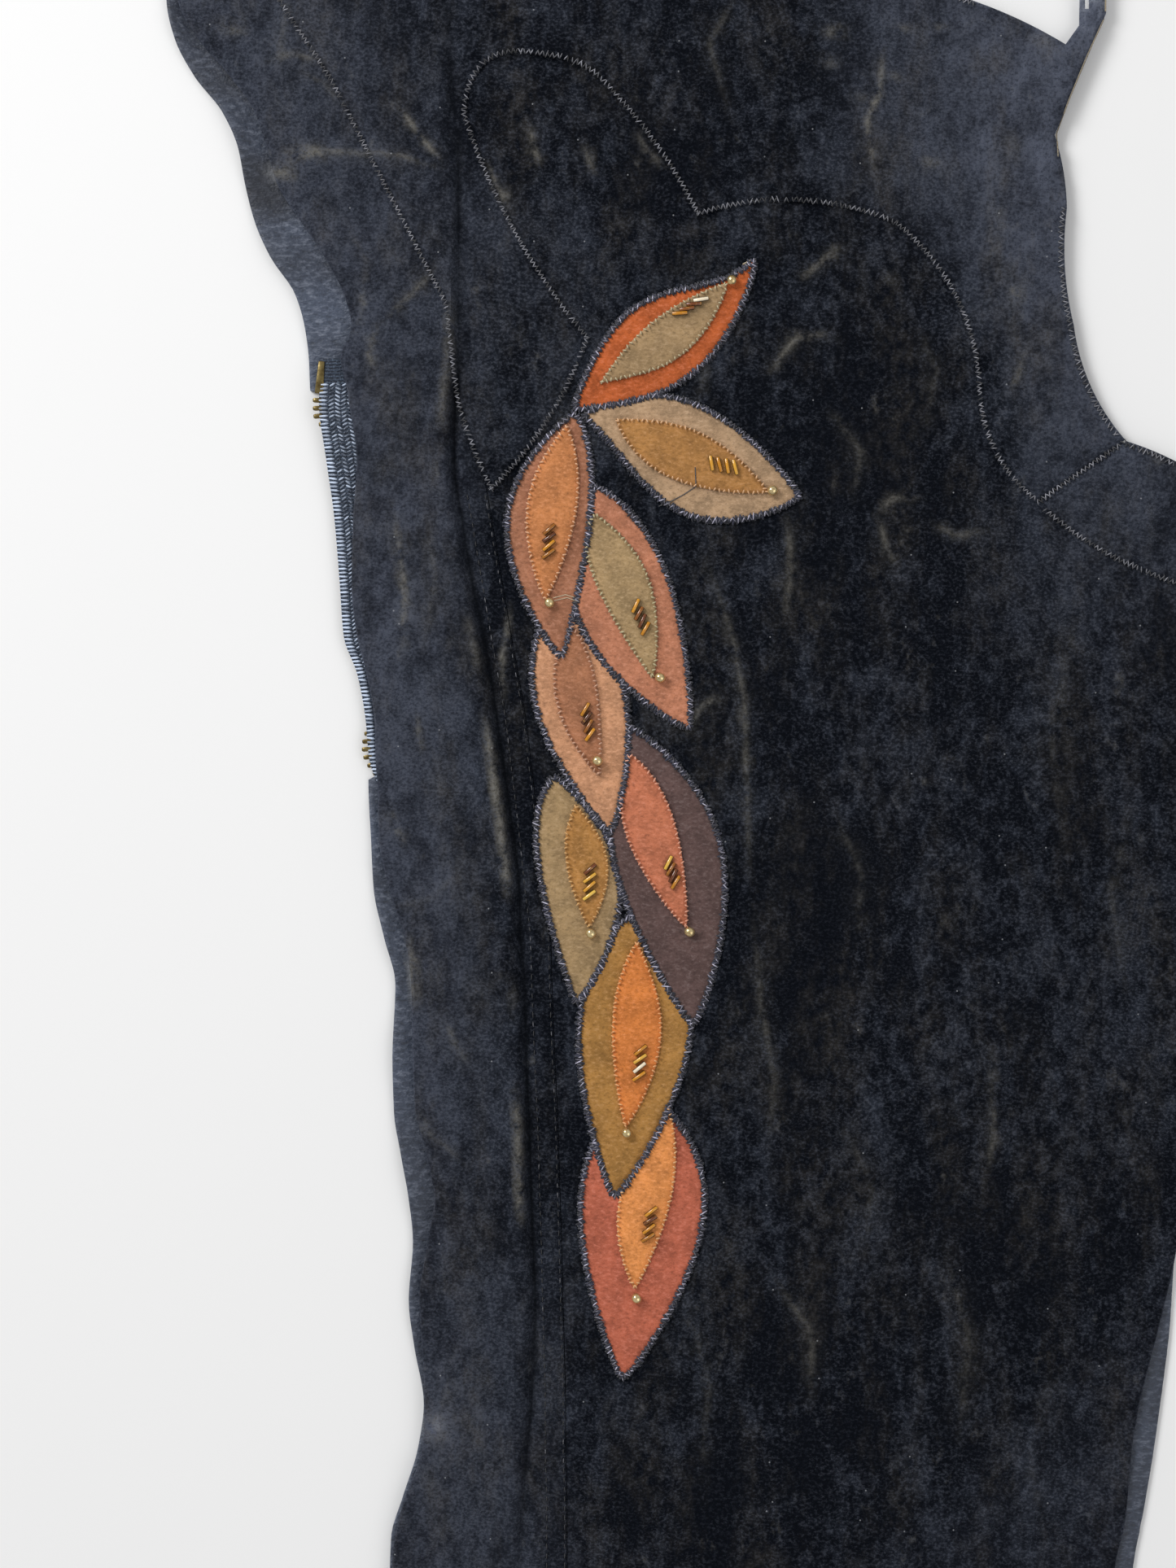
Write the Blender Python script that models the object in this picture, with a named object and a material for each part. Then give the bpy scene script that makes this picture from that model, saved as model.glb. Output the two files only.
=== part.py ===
# Suede show chaps, laid flat and face up with both side zips open.
# The two legs mirror each other about X = 0. +Y runs from hem to waist and +Z is up.
# Tables and sizes are in millimetres in that frame, and meshes are scaled to metres.

import math

import bmesh
import bpy
from mathutils import Matrix

MM = 0.001

# Driving sizes
HALF_LENGTH = 508.0
LEATHER = 1.6
OVERLAY = 1.4
APPLIQUE = 1.0
TAPE = 0.9
GAP = 0.3
CUT_IN = 0.8
FLAP_LAP = 7.5
TAPE_WIDTH = 19.0
BACK_TAPE_WIDTH = 14.0
TAPES_APART = 4.0
ZIP_TOP = 286.5
ZIP_BOTTOM = -496.0
TAPE_TUCK = 1.5
BELT_WIDTH = 38.0
BELT_Y = 464.0
BELT_LAP = 40.0
BELT_THICK = 2.2
BELT_DROP_X = -185.0
BELT_DROP_RUN = 30.0
BELT_STEPS = 8

# Heights of the front's underside above the table
UNDER_OUTER = 3.5
UNDER_INNER = 2.1
UNDER_WAIST = 4.9
EDGE_STEEP = 0.35

# Ridge beside the fold line: how far outside it the ridge peaks, and where it starts
RIDGE_PEAK = 3.2
RIDGE_FOOT = 9.0

# Grid that every front layer shares
GRID_START = -510.0
GRID_STEP = 25.5
GRID_ROWS = 41
BODY_COLUMNS = 7
COARSE_BELOW = -160.0
ARC_STEP = 14.0

# Sections down the leg: where each edge or fold line crosses that height.
SECTION_COLUMNS = ("y", "back_outer", "front_outer", "fold", "seam")
SECTIONS = (
    (510.0, -398.5, -393.0, -300.0, -295.0),
    (463.5, -398.0, -394.0, -297.5, -292.5),
    (418.5, -396.5, -392.0, -294.0, -289.5),
    (405.0, -393.5, -385.0, -293.0, -288.5),
    (391.5, -386.5, -373.5, -292.0, -287.5),
    (378.0, -376.0, -364.0, -291.0, -286.5),
    (364.5, -370.0, -359.5, -290.0, -286.0),
    (351.0, -367.5, -355.5, -289.5, -285.5),
    (337.5, -364.0, -347.0, -289.0, -285.0),
    (324.0, -358.0, -338.0, -288.5, -284.5),
    (310.5, -349.0, -331.0, -288.5, -284.5),
    (298.5, -345.5, -328.0, -288.5, -284.5),
    (286.5, -344.0, -332.0, -288.5, -285.0),
    (275.0, -343.5, -329.5, -290.0, -286.0),
    (271.0, -326.0, -329.0, -290.5, -286.5),
    (250.0, -321.0, -326.0, -291.0, -287.0),
    (226.0, -321.0, -327.5, -288.0, -283.5),
    (202.0, -321.0, -328.0, -284.0, -279.5),
    (184.0, -319.0, -326.0, -280.0, -276.5),
    (170.0, -316.0, -322.5, -277.5, -274.0),
    (152.0, -314.0, -319.5, -275.0, -271.0),
    (135.0, -315.0, -319.0, -272.5, -269.0),
    (131.0, -322.0, -318.5, -272.0, -268.5),
    (109.5, -321.0, -318.0, -269.0, -266.0),
    (90.5, -320.0, -314.0, -267.0, -264.0),
    (72.5, -316.0, -308.5, -266.5, -262.0),
    (55.5, -312.0, -306.0, -265.0, -261.5),
    (28.5, -313.0, -305.5, -264.5, -260.5),
    (8.0, -312.5, -304.5, -263.5, -259.5),
    (-7.0, -310.0, -300.5, -263.0, -259.0),
    (-24.0, -307.0, -297.5, -262.5, -258.5),
    (-40.0, -305.5, -300.0, -262.0, -258.0),
    (-61.5, -307.0, -303.0, -261.0, -257.5),
    (-78.5, -305.0, -302.0, -261.5, -257.0),
    (-100.0, -301.5, -301.0, -262.5, -256.5),
    (-115.5, -303.5, -302.0, -264.0, -256.5),
    (-135.0, -309.5, -308.5, -265.5, -256.0),
    (-148.5, -313.5, -312.0, -266.0, -256.0),
    (-159.5, -314.0, -313.0, -266.5, -256.0),
    (-271.5, -316.5, -315.5, -270.0, -256.0),
    (-391.5, -325.5, -324.0, -274.5, -257.0),
    (-510.0, -333.0, -331.5, -277.5, -258.0),
)

# Teeth edge of the front zip tape, where the zip swings clear of the leather
TAPE_EDGE_COLUMNS = ("y", "x")
TAPE_EDGE = (
    (286.5, -338.5),
    (270.0, -340.0),
    (250.0, -337.5),
    (228.0, -334.5),
    (204.0, -332.5),
    (184.0, -331.0),
    (170.0, -326.0),
    (154.0, -323.0),
    (138.0, -321.5),
    (128.0, -317.5),
)

# Inseam of the front and of the back, from the crotch point to the hem
INSEAM_COLUMNS = ("y", "front", "back")
INSEAM = (
    (223.5, -3.0, -3.5),
    (178.5, -6.0, -6.5),
    (118.5, -10.5, -11.0),
    (28.5, -16.5, -17.0),
    (-40.0, -23.0, -23.5),
    (-71.5, -30.0, -25.5),
    (-99.5, -37.0, -29.0),
    (-114.0, -39.5, -31.0),
    (-144.0, -42.5, -36.0),
    (-159.5, -46.0, -39.0),
    (-271.5, -52.0, -47.0),
    (-391.5, -48.0, -45.0),
    (-508.0, -40.0, -38.0),
)

# Corners of each outline, with columns x, y and bow. The bow is how far the arc to the
# next corner swells outward.
WAIST = (
    (-98.5, 418.5, 1.0),
    (-64.5, 402.5, 0.0),
)
CROTCH_EDGE = (
    (-49.5, 414.0, 0.0),
    (-68.5, 369.0, 1.0),
    (-64.0, 342.0, -2.0),
    (-61.5, 299.0, -3.5),
    (-42.5, 256.5, 0.0),
)
TAB = (
    (-59.5, 409.5, 0.0),
    (-59.0, 436.5, 3.0),
    (-49.5, 436.5, 0.0),
)
TAB_FOOT = 400.0
YOKE_SCALLOPS = (
    (-75.5, 233.5, 6.0),
    (-97.0, 278.5, -7.0),
    (-128.0, 336.5, -6.5),
    (-200.5, 339.0, -2.0),
    (-232.0, 384.5, -3.3),
    (-257.5, 398.0, -10.5),
    (-286.0, 376.5, -4.5),
    (-240.5, 294.0, 4.0),
    (-276.5, 237.5, 1.0),
    (-289.5, 272.0, 0.0),
    (-293.5, 306.0, 0.0),
    (-335.5, 388.0, 0.0),
    (-354.5, 417.5, 6.0),
)
CROTCH_PIECE = (
    (-42.0, 256.0, 1.0),
    (-15.0, 243.5, 2.5),
    (-3.0, 223.5, 0.0),
    (-5.0, 197.5, 1.0),
    (-47.0, 213.0, 1.0),
    (-75.0, 232.8, 0.0),
)
WAIST_SIDE = (-394.0, HALF_LENGTH)
WAIST_BOW = 8.0
YOKE_WAIST_X = -384.0
FRONT_WAIST_X = -134.0
FLAP_WAIST_X = -320.0
SEAM_WAIST_X = -283.0
BACK_CUT_IN = 1.0
SLOT_X = -56.6
SLOT_WIDTH = 1.5
SLOT_BOTTOM = 415.5
SLOT_TOP = 430.5

# Hidden inner edge of the back, from the crotch point up to the belt
BACK_RISE = (
    (-8.0, 221.0, 0.0),
    (-66.0, 233.0, -14.0),
    (-160.0, 370.0, -12.0),
    (-238.0, 484.0, 0.0),
)

# Runs of the back's outer edge from top to bottom, and the grid parts of each. It steps in
# under the zip.
BACK_RUNS = (
    (505.0, 276.0, 3),
    (270.0, 136.5, 1),
    (131.0, COARSE_BELOW, 2),
)

# Height of the rolled ridge beside the fold line, and lift of the back's free outer edge
ROLL_COLUMNS = ("y", "ridge", "edge_lift")
ROLL = (
    (510.0, 0.6, 0.4),
    (463.5, 0.9, 1.8),
    (418.5, 1.4, 2.6),
    (391.5, 1.6, 1.0),
    (370.0, 1.8, 3.2),
    (345.0, 2.2, 0.8),
    (320.0, 3.0, 3.0),
    (300.0, 3.4, 1.2),
    (282.0, 3.3, 0.1),
    (255.0, 3.0, 0.0),
    (215.0, 2.2, 0.0),
    (180.0, 3.2, 0.0),
    (150.0, 2.4, 0.0),
    (131.0, 3.2, 0.0),
    (110.0, 3.4, 2.0),
    (90.0, 2.8, 0.8),
    (72.0, 2.2, 2.6),
    (50.0, 1.8, 0.7),
    (28.0, 2.0, 2.3),
    (8.0, 2.8, 0.9),
    (-15.0, 3.2, 2.6),
    (-40.0, 2.6, 0.8),
    (-62.0, 1.8, 1.9),
    (-90.0, 1.6, 0.5),
    (-112.0, 1.8, 2.4),
    (-135.0, 1.4, 0.8),
    (-160.0, 1.2, 1.6),
    (-215.0, 1.6, 0.5),
    (-271.5, 2.2, 2.2),
    (-330.0, 1.4, 0.6),
    (-391.5, 2.2, 2.4),
    (-450.0, 1.4, 0.6),
    (-510.0, 1.8, 2.0),
)

# Long soft folds in the front, with columns x1, y1, x2, y2, height and width
SOFT_FOLDS = (
    (-196.0, 215.0, -172.0, -20.0, 1.8, 26.0),
    (-150.0, 330.0, -210.0, 420.0, 1.4, 30.0),
    (-95.0, 150.0, -92.0, -40.0, 1.6, 34.0),
    (-160.0, -70.0, -158.0, -240.0, 1.8, 28.0),
    (-110.0, -180.0, -118.0, -430.0, 2.0, 34.0),
    (-215.0, -230.0, -222.0, -470.0, 1.8, 30.0),
    (-60.0, 60.0, -66.0, -120.0, 1.2, 26.0),
)

# Outer leaves, with columns base_x, base_y, tip_x, tip_y, left, left_at, right, right_at and
# left_tip. left and right are the widths to either side when looking from base to tip, and
# left_at and right_at say how far along each is widest. left_tip is under 1 where the left side
# runs full to the tip, and over 1 where it runs hollow. INLAYS has the same columns.
LEAVES = {
    "1": (-245.5, 267.5, -179.5, 322.5, 14.8, 0.44, 17.5, 0.50, 2.4),
    "2": (-242.5, 265.0, -163.0, 235.5, 18.5, 0.42, 20.5, 0.58, 0.8),
    "3": (-246.0, 266.0, -250.5, 176.5, 8.0, 0.35, 22.5, 0.46, 0.8),
    "4": (-238.0, 239.0, -203.5, 150.0, 12.7, 0.40, 23.5, 0.46, 0.8),
    "5": (-253.5, 196.5, -232.5, 112.0, 17.5, 0.42, 15.5, 0.42, 0.8),
    "6": (-225.5, 150.5, -202.0, 41.0, 23.5, 0.45, 16.0, 0.42, 0.8),
    "7": (-252.5, 132.0, -245.0, 49.0, 20.0, 0.48, 9.5, 0.33, 0.8),
    "8": (-226.0, 80.0, -231.0, -22.5, 25.0, 0.38, 16.0, 0.40, 0.8),
    "9": (-220.5, 16.5, -228.0, -89.5, 25.5, 0.40, 20.0, 0.38, 0.8),
}
INLAYS = {
    "1": (-236.5, 277.0, -189.5, 314.0, 5.8, 0.50, 10.6, 0.52, 0.8),
    "2": (-230.5, 264.0, -174.5, 237.0, 9.0, 0.50, 11.0, 0.42, 0.8),
    "3": (-248.5, 262.0, -256.5, 197.0, 7.5, 0.44, 11.0, 0.48, 0.8),
    "4": (-238.0, 229.0, -217.0, 168.5, 10.7, 0.46, 8.5, 0.32, 0.8),
    "5": (-249.5, 190.5, -236.5, 132.5, 6.3, 0.38, 9.7, 0.50, 0.8),
    "6": (-225.5, 140.5, -204.5, 76.5, 8.0, 0.40, 10.5, 0.42, 0.8),
    "7": (-245.0, 122.0, -240.5, 76.5, 9.5, 0.50, 6.0, 0.42, 0.8),
    "8": (-222.5, 71.5, -227.0, 3.0, 11.0, 0.50, 7.3, 0.42, 0.8),
    "9": (-212.0, 14.0, -223.5, -56.5, 8.0, 0.45, 11.0, 0.58, 0.8),
}
# Which leaves lie over each one
LIES_UNDER = {
    "1": "",
    "2": "1",
    "3": "12",
    "4": "23",
    "5": "34",
    "6": "45",
    "7": "56",
    "8": "67",
    "9": "8",
}
LEAF_BASE = 1.0
LEAF_TIP = 0.8
LEAF_STEPS = 9
# Far corners of the block that trims the leaves under the yoke
YOKE_CUT = ((-330.0, 430.0), (-75.0, 430.0))
INLAY_STEPS = 7

# Zip slider and its pull, lying between the layers on the back tape
SLIDER_LENGTH = 11.0
SLIDER_WIDTH = 9.0
SLIDER_HEIGHT = 2.6
PULL_LENGTH = 20.0
PULL_WIDTH = 6.0
PULL_HEIGHT = 1.2
PULL_LIFT = 0.4
SLIDER_ROOM = 2.4
SLIDER_FLAT = 18.0
SLIDER_REACH = 30.0
# Plan corners of the slider and of its pull, in half widths across and half lengths along
SLIDER_SHAPE = ((-1.0, 1.0), (-0.7, -1.0), (0.7, -1.0), (1.0, 1.0), (0.3, 1.2), (-0.3, 1.2))
PULL_SHAPE = ((-0.7, 1.0), (-1.0, -0.8), (-0.5, -1.0), (0.5, -1.0), (1.0, -0.8), (0.7, 1.0))

COLOURS = {
    "suede": ("#1b1f28", 0.92, 0.0),
    "suede_flap": ("#2b2f3c", 0.92, 0.0),
    "suede_yoke": ("#24262d", 0.92, 0.0),
    "grain": ("#4b5160", 0.55, 0.0),
    "tape": ("#4b5664", 0.85, 0.0),
    "brass": ("#8f7c55", 0.35, 1.0),
    "leaf_1": ("#b96236", 0.9, 0.0),
    "leaf_2": ("#9d8264", 0.9, 0.0),
    "leaf_3": ("#9f6d54", 0.9, 0.0),
    "leaf_4": ("#b4795e", 0.9, 0.0),
    "leaf_5": ("#c08f6c", 0.9, 0.0),
    "leaf_6": ("#574245", 0.9, 0.0),
    "leaf_7": ("#948260", 0.9, 0.0),
    "leaf_8": ("#8e6a38", 0.9, 0.0),
    "leaf_9": ("#a85d47", 0.9, 0.0),
    "inlay_1": ("#9d8263", 0.9, 0.0),
    "inlay_2": ("#b0803f", 0.9, 0.0),
    "inlay_3": ("#c8804a", 0.9, 0.0),
    "inlay_4": ("#9b8763", 0.9, 0.0),
    "inlay_5": ("#a06e4e", 0.9, 0.0),
    "inlay_6": ("#c06b50", 0.9, 0.0),
    "inlay_7": ("#a4753a", 0.9, 0.0),
    "inlay_8": ("#cb7838", 0.9, 0.0),
    "inlay_9": ("#c6854c", 0.9, 0.0),
}


def linear(channel):
    """A display colour channel as scene light."""
    return channel / 12.92 if channel <= 0.04045 else ((channel + 0.055) / 1.055) ** 2.4


def material(name):
    """The named finish, made once."""
    if name in bpy.data.materials:
        return bpy.data.materials[name]
    code, roughness, metallic = COLOURS[name]
    rgb = [linear(int(code[i:i + 2], 16) / 255.0) for i in (1, 3, 5)]
    made = bpy.data.materials.new(name)
    made.use_nodes = True
    shader = made.node_tree.nodes["Principled BSDF"]
    shader.inputs["Base Color"].default_value = (*rgb, 1.0)
    shader.inputs["Roughness"].default_value = roughness
    shader.inputs["Metallic"].default_value = metallic
    return made


def column(table, names, name):
    """One column of a table against its first column, as (y, value) pairs, lowest first."""
    place = names.index(name)
    return sorted((row[0], row[place]) for row in table)


def smooth(pairs, y):
    """A curve through the pairs that never overshoots them."""
    if y <= pairs[0][0]:
        return pairs[0][1]
    if y >= pairs[-1][0]:
        return pairs[-1][1]
    i = next(k for k in range(len(pairs) - 1) if pairs[k + 1][0] >= y)
    slopes = [(b[1] - a[1]) / (b[0] - a[0]) for a, b in zip(pairs, pairs[1:])]

    def tangent(k):
        if k == 0 or k == len(pairs) - 1:
            return slopes[0] if k == 0 else slopes[-1]
        before, after = slopes[k - 1], slopes[k]
        return 0.0 if before * after <= 0 else 2 * before * after / (before + after)

    (y0, v0), (y1, v1) = pairs[i], pairs[i + 1]
    h = y1 - y0
    t = (y - y0) / h
    return (v0 * (1 + 2 * t) * (1 - t) ** 2 + v1 * t * t * (3 - 2 * t)
            + h * tangent(i) * t * (1 - t) ** 2 - h * tangent(i + 1) * t * t * (1 - t))


BACK_OUTER = column(SECTIONS, SECTION_COLUMNS, "back_outer")
FRONT_OUTER = column(SECTIONS, SECTION_COLUMNS, "front_outer")
FOLD = column(SECTIONS, SECTION_COLUMNS, "fold")
SEAM = column(SECTIONS, SECTION_COLUMNS, "seam")
TAPE_OUTER = column(TAPE_EDGE, TAPE_EDGE_COLUMNS, "x")
FRONT_INSEAM = column(INSEAM, INSEAM_COLUMNS, "front")
BACK_INSEAM = column(INSEAM, INSEAM_COLUMNS, "back")
RIDGE = column(ROLL, ROLL_COLUMNS, "ridge")
EDGE_LIFT = column(ROLL, ROLL_COLUMNS, "edge_lift")


def ease(t):
    """0 to 1 with soft ends."""
    t = min(1.0, max(0.0, t))
    return t * t * (3 - 2 * t)


def arc(start, end, bow, steps):
    """Points from start towards end on an arc that bows to the left by bow."""
    (x0, y0), (x1, y1) = start, end
    points = []
    for i in range(steps):
        t = i / steps
        side = 4 * bow * t * (1 - t)
        length = math.hypot(x1 - x0, y1 - y0)
        points.append((x0 + (x1 - x0) * t - (y1 - y0) / length * side,
                       y0 + (y1 - y0) * t + (x1 - x0) / length * side))
    return points


def corners(rows, last):
    """An outline through corner rows up to the last point, its bowed runs as arcs."""
    ends = [row[:2] for row in rows[1:]] + [last]
    points = []
    for (x, y, bow), end in zip(rows, ends):
        length = math.hypot(end[0] - x, end[1] - y)
        steps = 1 if bow == 0 else max(3, round(length / ARC_STEP))
        points += arc((x, y), end, bow, steps)
    return points


def row_heights(top, bottom, parts):
    """Heights from top to bottom on the grid's rows, each row split into equal parts."""
    step = GRID_STEP / parts
    first = math.floor((top - GRID_START - 1.0) / step)
    last = math.ceil((bottom - GRID_START + 1.0) / step)
    return [top] + [GRID_START + step * k for k in range(first, last - 1, -1)] + [bottom]


def along(pairs, top, bottom, parts=1):
    """Points (x, y) down a column from top to bottom."""
    return [(smooth(pairs, y), y) for y in row_heights(top, bottom, parts)]


def waist_y(x):
    """Height of the waist edge between the side and the front dip."""
    (x0, y0), (x1, y1) = WAIST_SIDE, WAIST[0][:2]
    t = (x - x0) / (x1 - x0)
    return y0 + (y1 - y0) * t + 4 * WAIST_BOW * t * (1 - t)


def waist_run(x_from, x_to, steps, drop=0.0):
    """Points along the waist edge or drop below it, without the last one."""
    xs = [x_from + (x_to - x_from) * i / steps for i in range(steps)]
    return [(x, waist_y(x) - drop) for x in xs]


def tape_outer(y):
    """Teeth edge of the front tape: outside the leather by the knee of the zip, then under it."""
    if y >= TAPE_OUTER[0][0]:
        return smooth(TAPE_OUTER, y)
    return smooth(FRONT_OUTER, y) + TAPE_TUCK


class Grid:
    """Sections across one layer. Every piece of the layer is cut along the same lines, so
    pieces that lie on each other keep their distance everywhere."""

    def __init__(self, columns, height):
        self.ys = [GRID_START + GRID_STEP * j for j in range(GRID_ROWS)]
        self.nodes = [[(x, y, height(i, x, y)) for i, x in enumerate(columns(y))] for y in self.ys]

    def triangle(self, i, j, upper):
        a, d = self.nodes[j][i], self.nodes[j + 1][i + 1]
        b = self.nodes[j + 1][i] if upper else self.nodes[j][i + 1]
        return a, b, d

    def place(self, u, v):
        """The surface point at grid place (u, v)."""
        last_u, last_v = len(self.nodes[0]) - 2, len(self.nodes) - 2
        i, j = min(last_u, max(0, int(u))), min(last_v, max(0, int(v)))
        s, t = u - i, v - j
        a, b, d = self.triangle(i, j, t > s)
        if t > s:
            return [a[k] + t * (b[k] - a[k]) + s * (d[k] - b[k]) for k in range(3)]
        return [a[k] + s * (b[k] - a[k]) + t * (d[k] - b[k]) for k in range(3)]

    def locate(self, x, y):
        """The grid place of a point of the plan."""
        v = (y - GRID_START) / GRID_STEP
        j = min(len(self.ys) - 2, max(0, int(v)))
        t = v - j
        stops = sorted([float(i) for i in range(len(self.nodes[0]))]
                       + [i + t for i in range(len(self.nodes[0]) - 1)])
        xs = [self.place(u, v)[0] for u in stops]
        k = next((k for k in range(len(xs) - 2) if xs[k + 1] >= x), len(xs) - 2)
        span = xs[k + 1] - xs[k]
        part = (x - xs[k]) / span if span > 1e-9 else 0.0
        return stops[k] + part * (stops[k + 1] - stops[k]), v


def front_columns(y):
    """Where the front's grid lines cross the height y."""
    outer, fold, seam = smooth(FRONT_OUTER, y), smooth(FOLD, y), smooth(SEAM, y)
    foot = fold - RIDGE_FOOT
    xs = [outer - 15.0, outer + 4.0, (outer + foot) / 2, foot, fold - RIDGE_PEAK, fold]
    start = seam + FLAP_LAP + 0.5
    return xs + [start * (1 - i / BODY_COLUMNS) for i in range(BODY_COLUMNS + 1)]


def soft_fold(x, y, fold):
    """Lift of one long soft fold at a point."""
    x1, y1, x2, y2, height, width = fold
    length = math.hypot(x2 - x1, y2 - y1)
    ux, uy = (x2 - x1) / length, (y2 - y1) / length
    run = (x - x1) * ux + (y - y1) * uy
    off = (x - x1) * uy - (y - y1) * ux
    fade = ease(run / (0.3 * length)) * ease((length - run) / (0.3 * length))
    return height * fade * math.exp(-(off / width) ** 2)


def slider_spot():
    """Plan place of the zip slider, at the top of the back tape."""
    y = ZIP_TOP - SLIDER_LENGTH
    return tape_outer(y) + TAPE_WIDTH + TAPES_APART + SLIDER_WIDTH / 2, y


def front_height(i, x, y):
    """Height of the front's underside at a grid line."""
    across = ease((x + 250.0) / 220.0)
    base = UNDER_OUTER + (UNDER_INNER - UNDER_OUTER) * across
    waist = ease((y - 418.0) / 30.0)
    base += (UNDER_WAIST - base) * waist
    if i == 4:
        base += smooth(RIDGE, y)
    if i > 5:
        base += sum(soft_fold(x, y, fold) for fold in SOFT_FOLDS) * (1 - waist)
    sx, sy = slider_spot()
    off = math.hypot(x - sx, y - sy + 6.0)
    return base + SLIDER_ROOM * (1 - ease((off - SLIDER_FLAT) / SLIDER_REACH))


def back_columns(y):
    """Where the back's grid lines cross the height y."""
    edge = smooth(BACK_OUTER, y)
    inner = max(smooth(FRONT_OUTER, y) - 0.5, edge + 5.0)
    return [edge - 6.0, edge + 1.0, inner, 1.0]


def back_height(i, x, y):
    """The back rests flat but for its free outer edge, which lifts less where it is narrow."""
    free = max(0.0, smooth(FRONT_OUTER, y) - smooth(BACK_OUTER, y))
    return min(smooth(EDGE_LIFT, y), EDGE_STEEP * free) if i < 2 else 0.0


FRONT = Grid(front_columns, front_height)
BACK = Grid(back_columns, back_height)


def cut(bm, spot, normal, faces):
    """Split the faces along a line of the grid."""
    edges = {e for f in faces for e in f.edges}
    verts = {v for f in faces for v in f.verts}
    bmesh.ops.bisect_plane(bm, geom=list(verts) + list(edges) + list(faces), dist=1e-5,
                           plane_co=spot, plane_no=normal)


def slab(name, grid, outline, low, high, hole=None, rows_within=None):
    """A wall cut to a plan outline, lying on the grid's surface from low to high above it."""
    bm = bmesh.new()
    places = [grid.locate(x, y) for x, y in outline]
    bm.faces.new([bm.verts.new((u, v, 0.0)) for u, v in places])
    us, vs = [p[0] for p in places], [p[1] for p in places]
    for i in range(math.ceil(min(us)), math.floor(max(us)) + 1):
        cut(bm, (i, 0, 0), (1, 0, 0), bm.faces[:])
    inside = [f for f in bm.faces if rows_within is None or f.calc_center_median().x < rows_within]
    for j in range(math.ceil(min(vs)), math.floor(max(vs)) + 1):
        cut(bm, (0, j, 0), (0, 1, 0), inside)
        inside = [f for f in bm.faces
                  if rows_within is None or max(v.co.x for v in f.verts) <= rows_within + 1e-4]
    for k in range(math.floor(min(us) - max(vs)), math.ceil(max(us) - min(vs)) + 1):
        cut(bm, (k, 0, 0), (1, -1, 0), inside)
        inside = [f for f in bm.faces
                  if rows_within is None or max(v.co.x for v in f.verts) <= rows_within + 1e-4]
    bmesh.ops.triangulate(bm, faces=bm.faces[:])
    for v in bm.verts:
        x, y, z = grid.place(v.co.x, v.co.y)
        v.co = (x, y, z + low)
    bmesh.ops.recalc_face_normals(bm, faces=bm.faces[:])
    if sum(f.normal.z for f in bm.faces) > 0:
        bmesh.ops.reverse_faces(bm, faces=bm.faces[:])
    raised = bmesh.ops.extrude_face_region(bm, geom=bm.faces[:], use_keep_orig=True)
    for v in (g for g in raised["geom"] if isinstance(g, bmesh.types.BMVert)):
        v.co.z += high - low
    bmesh.ops.recalc_face_normals(bm, faces=bm.faces[:])
    return to_object(name, bm)


def prism(name, outline, low, high):
    """An upright block with a plan outline."""
    bm = bmesh.new()
    face = bm.faces.new([bm.verts.new((x, y, low)) for x, y in outline])
    raised = bmesh.ops.extrude_face_region(bm, geom=[face], use_keep_orig=True)
    for v in (g for g in raised["geom"] if isinstance(g, bmesh.types.BMVert)):
        v.co.z = high
    bmesh.ops.recalc_face_normals(bm, faces=bm.faces[:])
    return to_object(name, bm)


def to_object(name, bm):
    """The finished mesh in metres, as an object in the scene."""
    bmesh.ops.transform(bm, matrix=Matrix.Scale(MM, 4), verts=bm.verts[:])
    mesh = bpy.data.meshes.new(name)
    bm.to_mesh(mesh)
    bm.free()
    made = bpy.data.objects.new(name, mesh)
    bpy.context.collection.objects.link(made)
    return made


def trimmed(piece, cutters, operation="DIFFERENCE"):
    """The piece with each cutter taken away or added, its modifiers worked into the mesh."""
    for cutter in cutters:
        change = piece.modifiers.new("trim", "BOOLEAN")
        change.operation = operation
        change.object = cutter
    graph = bpy.context.evaluated_depsgraph_get()
    mesh = bpy.data.meshes.new_from_object(piece.evaluated_get(graph))
    piece.modifiers.clear()
    piece.data = mesh
    return piece


def both_legs(piece, name, finish):
    """Name the piece for the right leg, which lies at -X, and add its mirror image."""
    piece.name = name + "_r"
    piece.data.name = piece.name
    piece.data.materials.clear()
    piece.data.materials.append(material(finish))
    other = bpy.data.objects.new(name + "_l", piece.data.copy())
    other.data.transform(Matrix.Scale(-1, 4, (1, 0, 0)))
    other.data.flip_normals()
    bpy.context.collection.objects.link(other)


def leaf_outline(row, steps, grow=0.0):
    """A leaf between base and tip, each side a half wave with its own widest place."""
    bx, by, tx, ty, left, left_at, right, right_at, left_tip = row
    length = math.hypot(tx - bx, ty - by)
    dx, dy = (tx - bx) / length, (ty - by) / length

    def point(t, width, widest, tip):
        swell = math.sin(math.pi * t ** (math.log(0.5) / math.log(widest))) if 0 < t < 1 else 0.0
        off = width * swell ** (LEAF_BASE + (tip - LEAF_BASE) * t)
        run = -grow * 1.5 + t * (length + grow * 3)
        return (bx + dx * run - dy * off, by + dy * run + dx * off)

    turns = [(1 - math.cos(math.pi * i / steps)) / 2 for i in range(steps + 1)]
    ahead = [point(t, -(right + grow), right_at, LEAF_TIP) for t in turns]
    back = [point(t, left + grow, left_at, left_tip) for t in reversed(turns)]
    return ahead + back[1:-1]


def seam_line(top, bottom, offset):
    """Butted edge between side flap and front, moved sideways by offset."""
    return [(x + FLAP_LAP + offset, y) for x, y in along(SEAM, top, bottom)]


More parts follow.
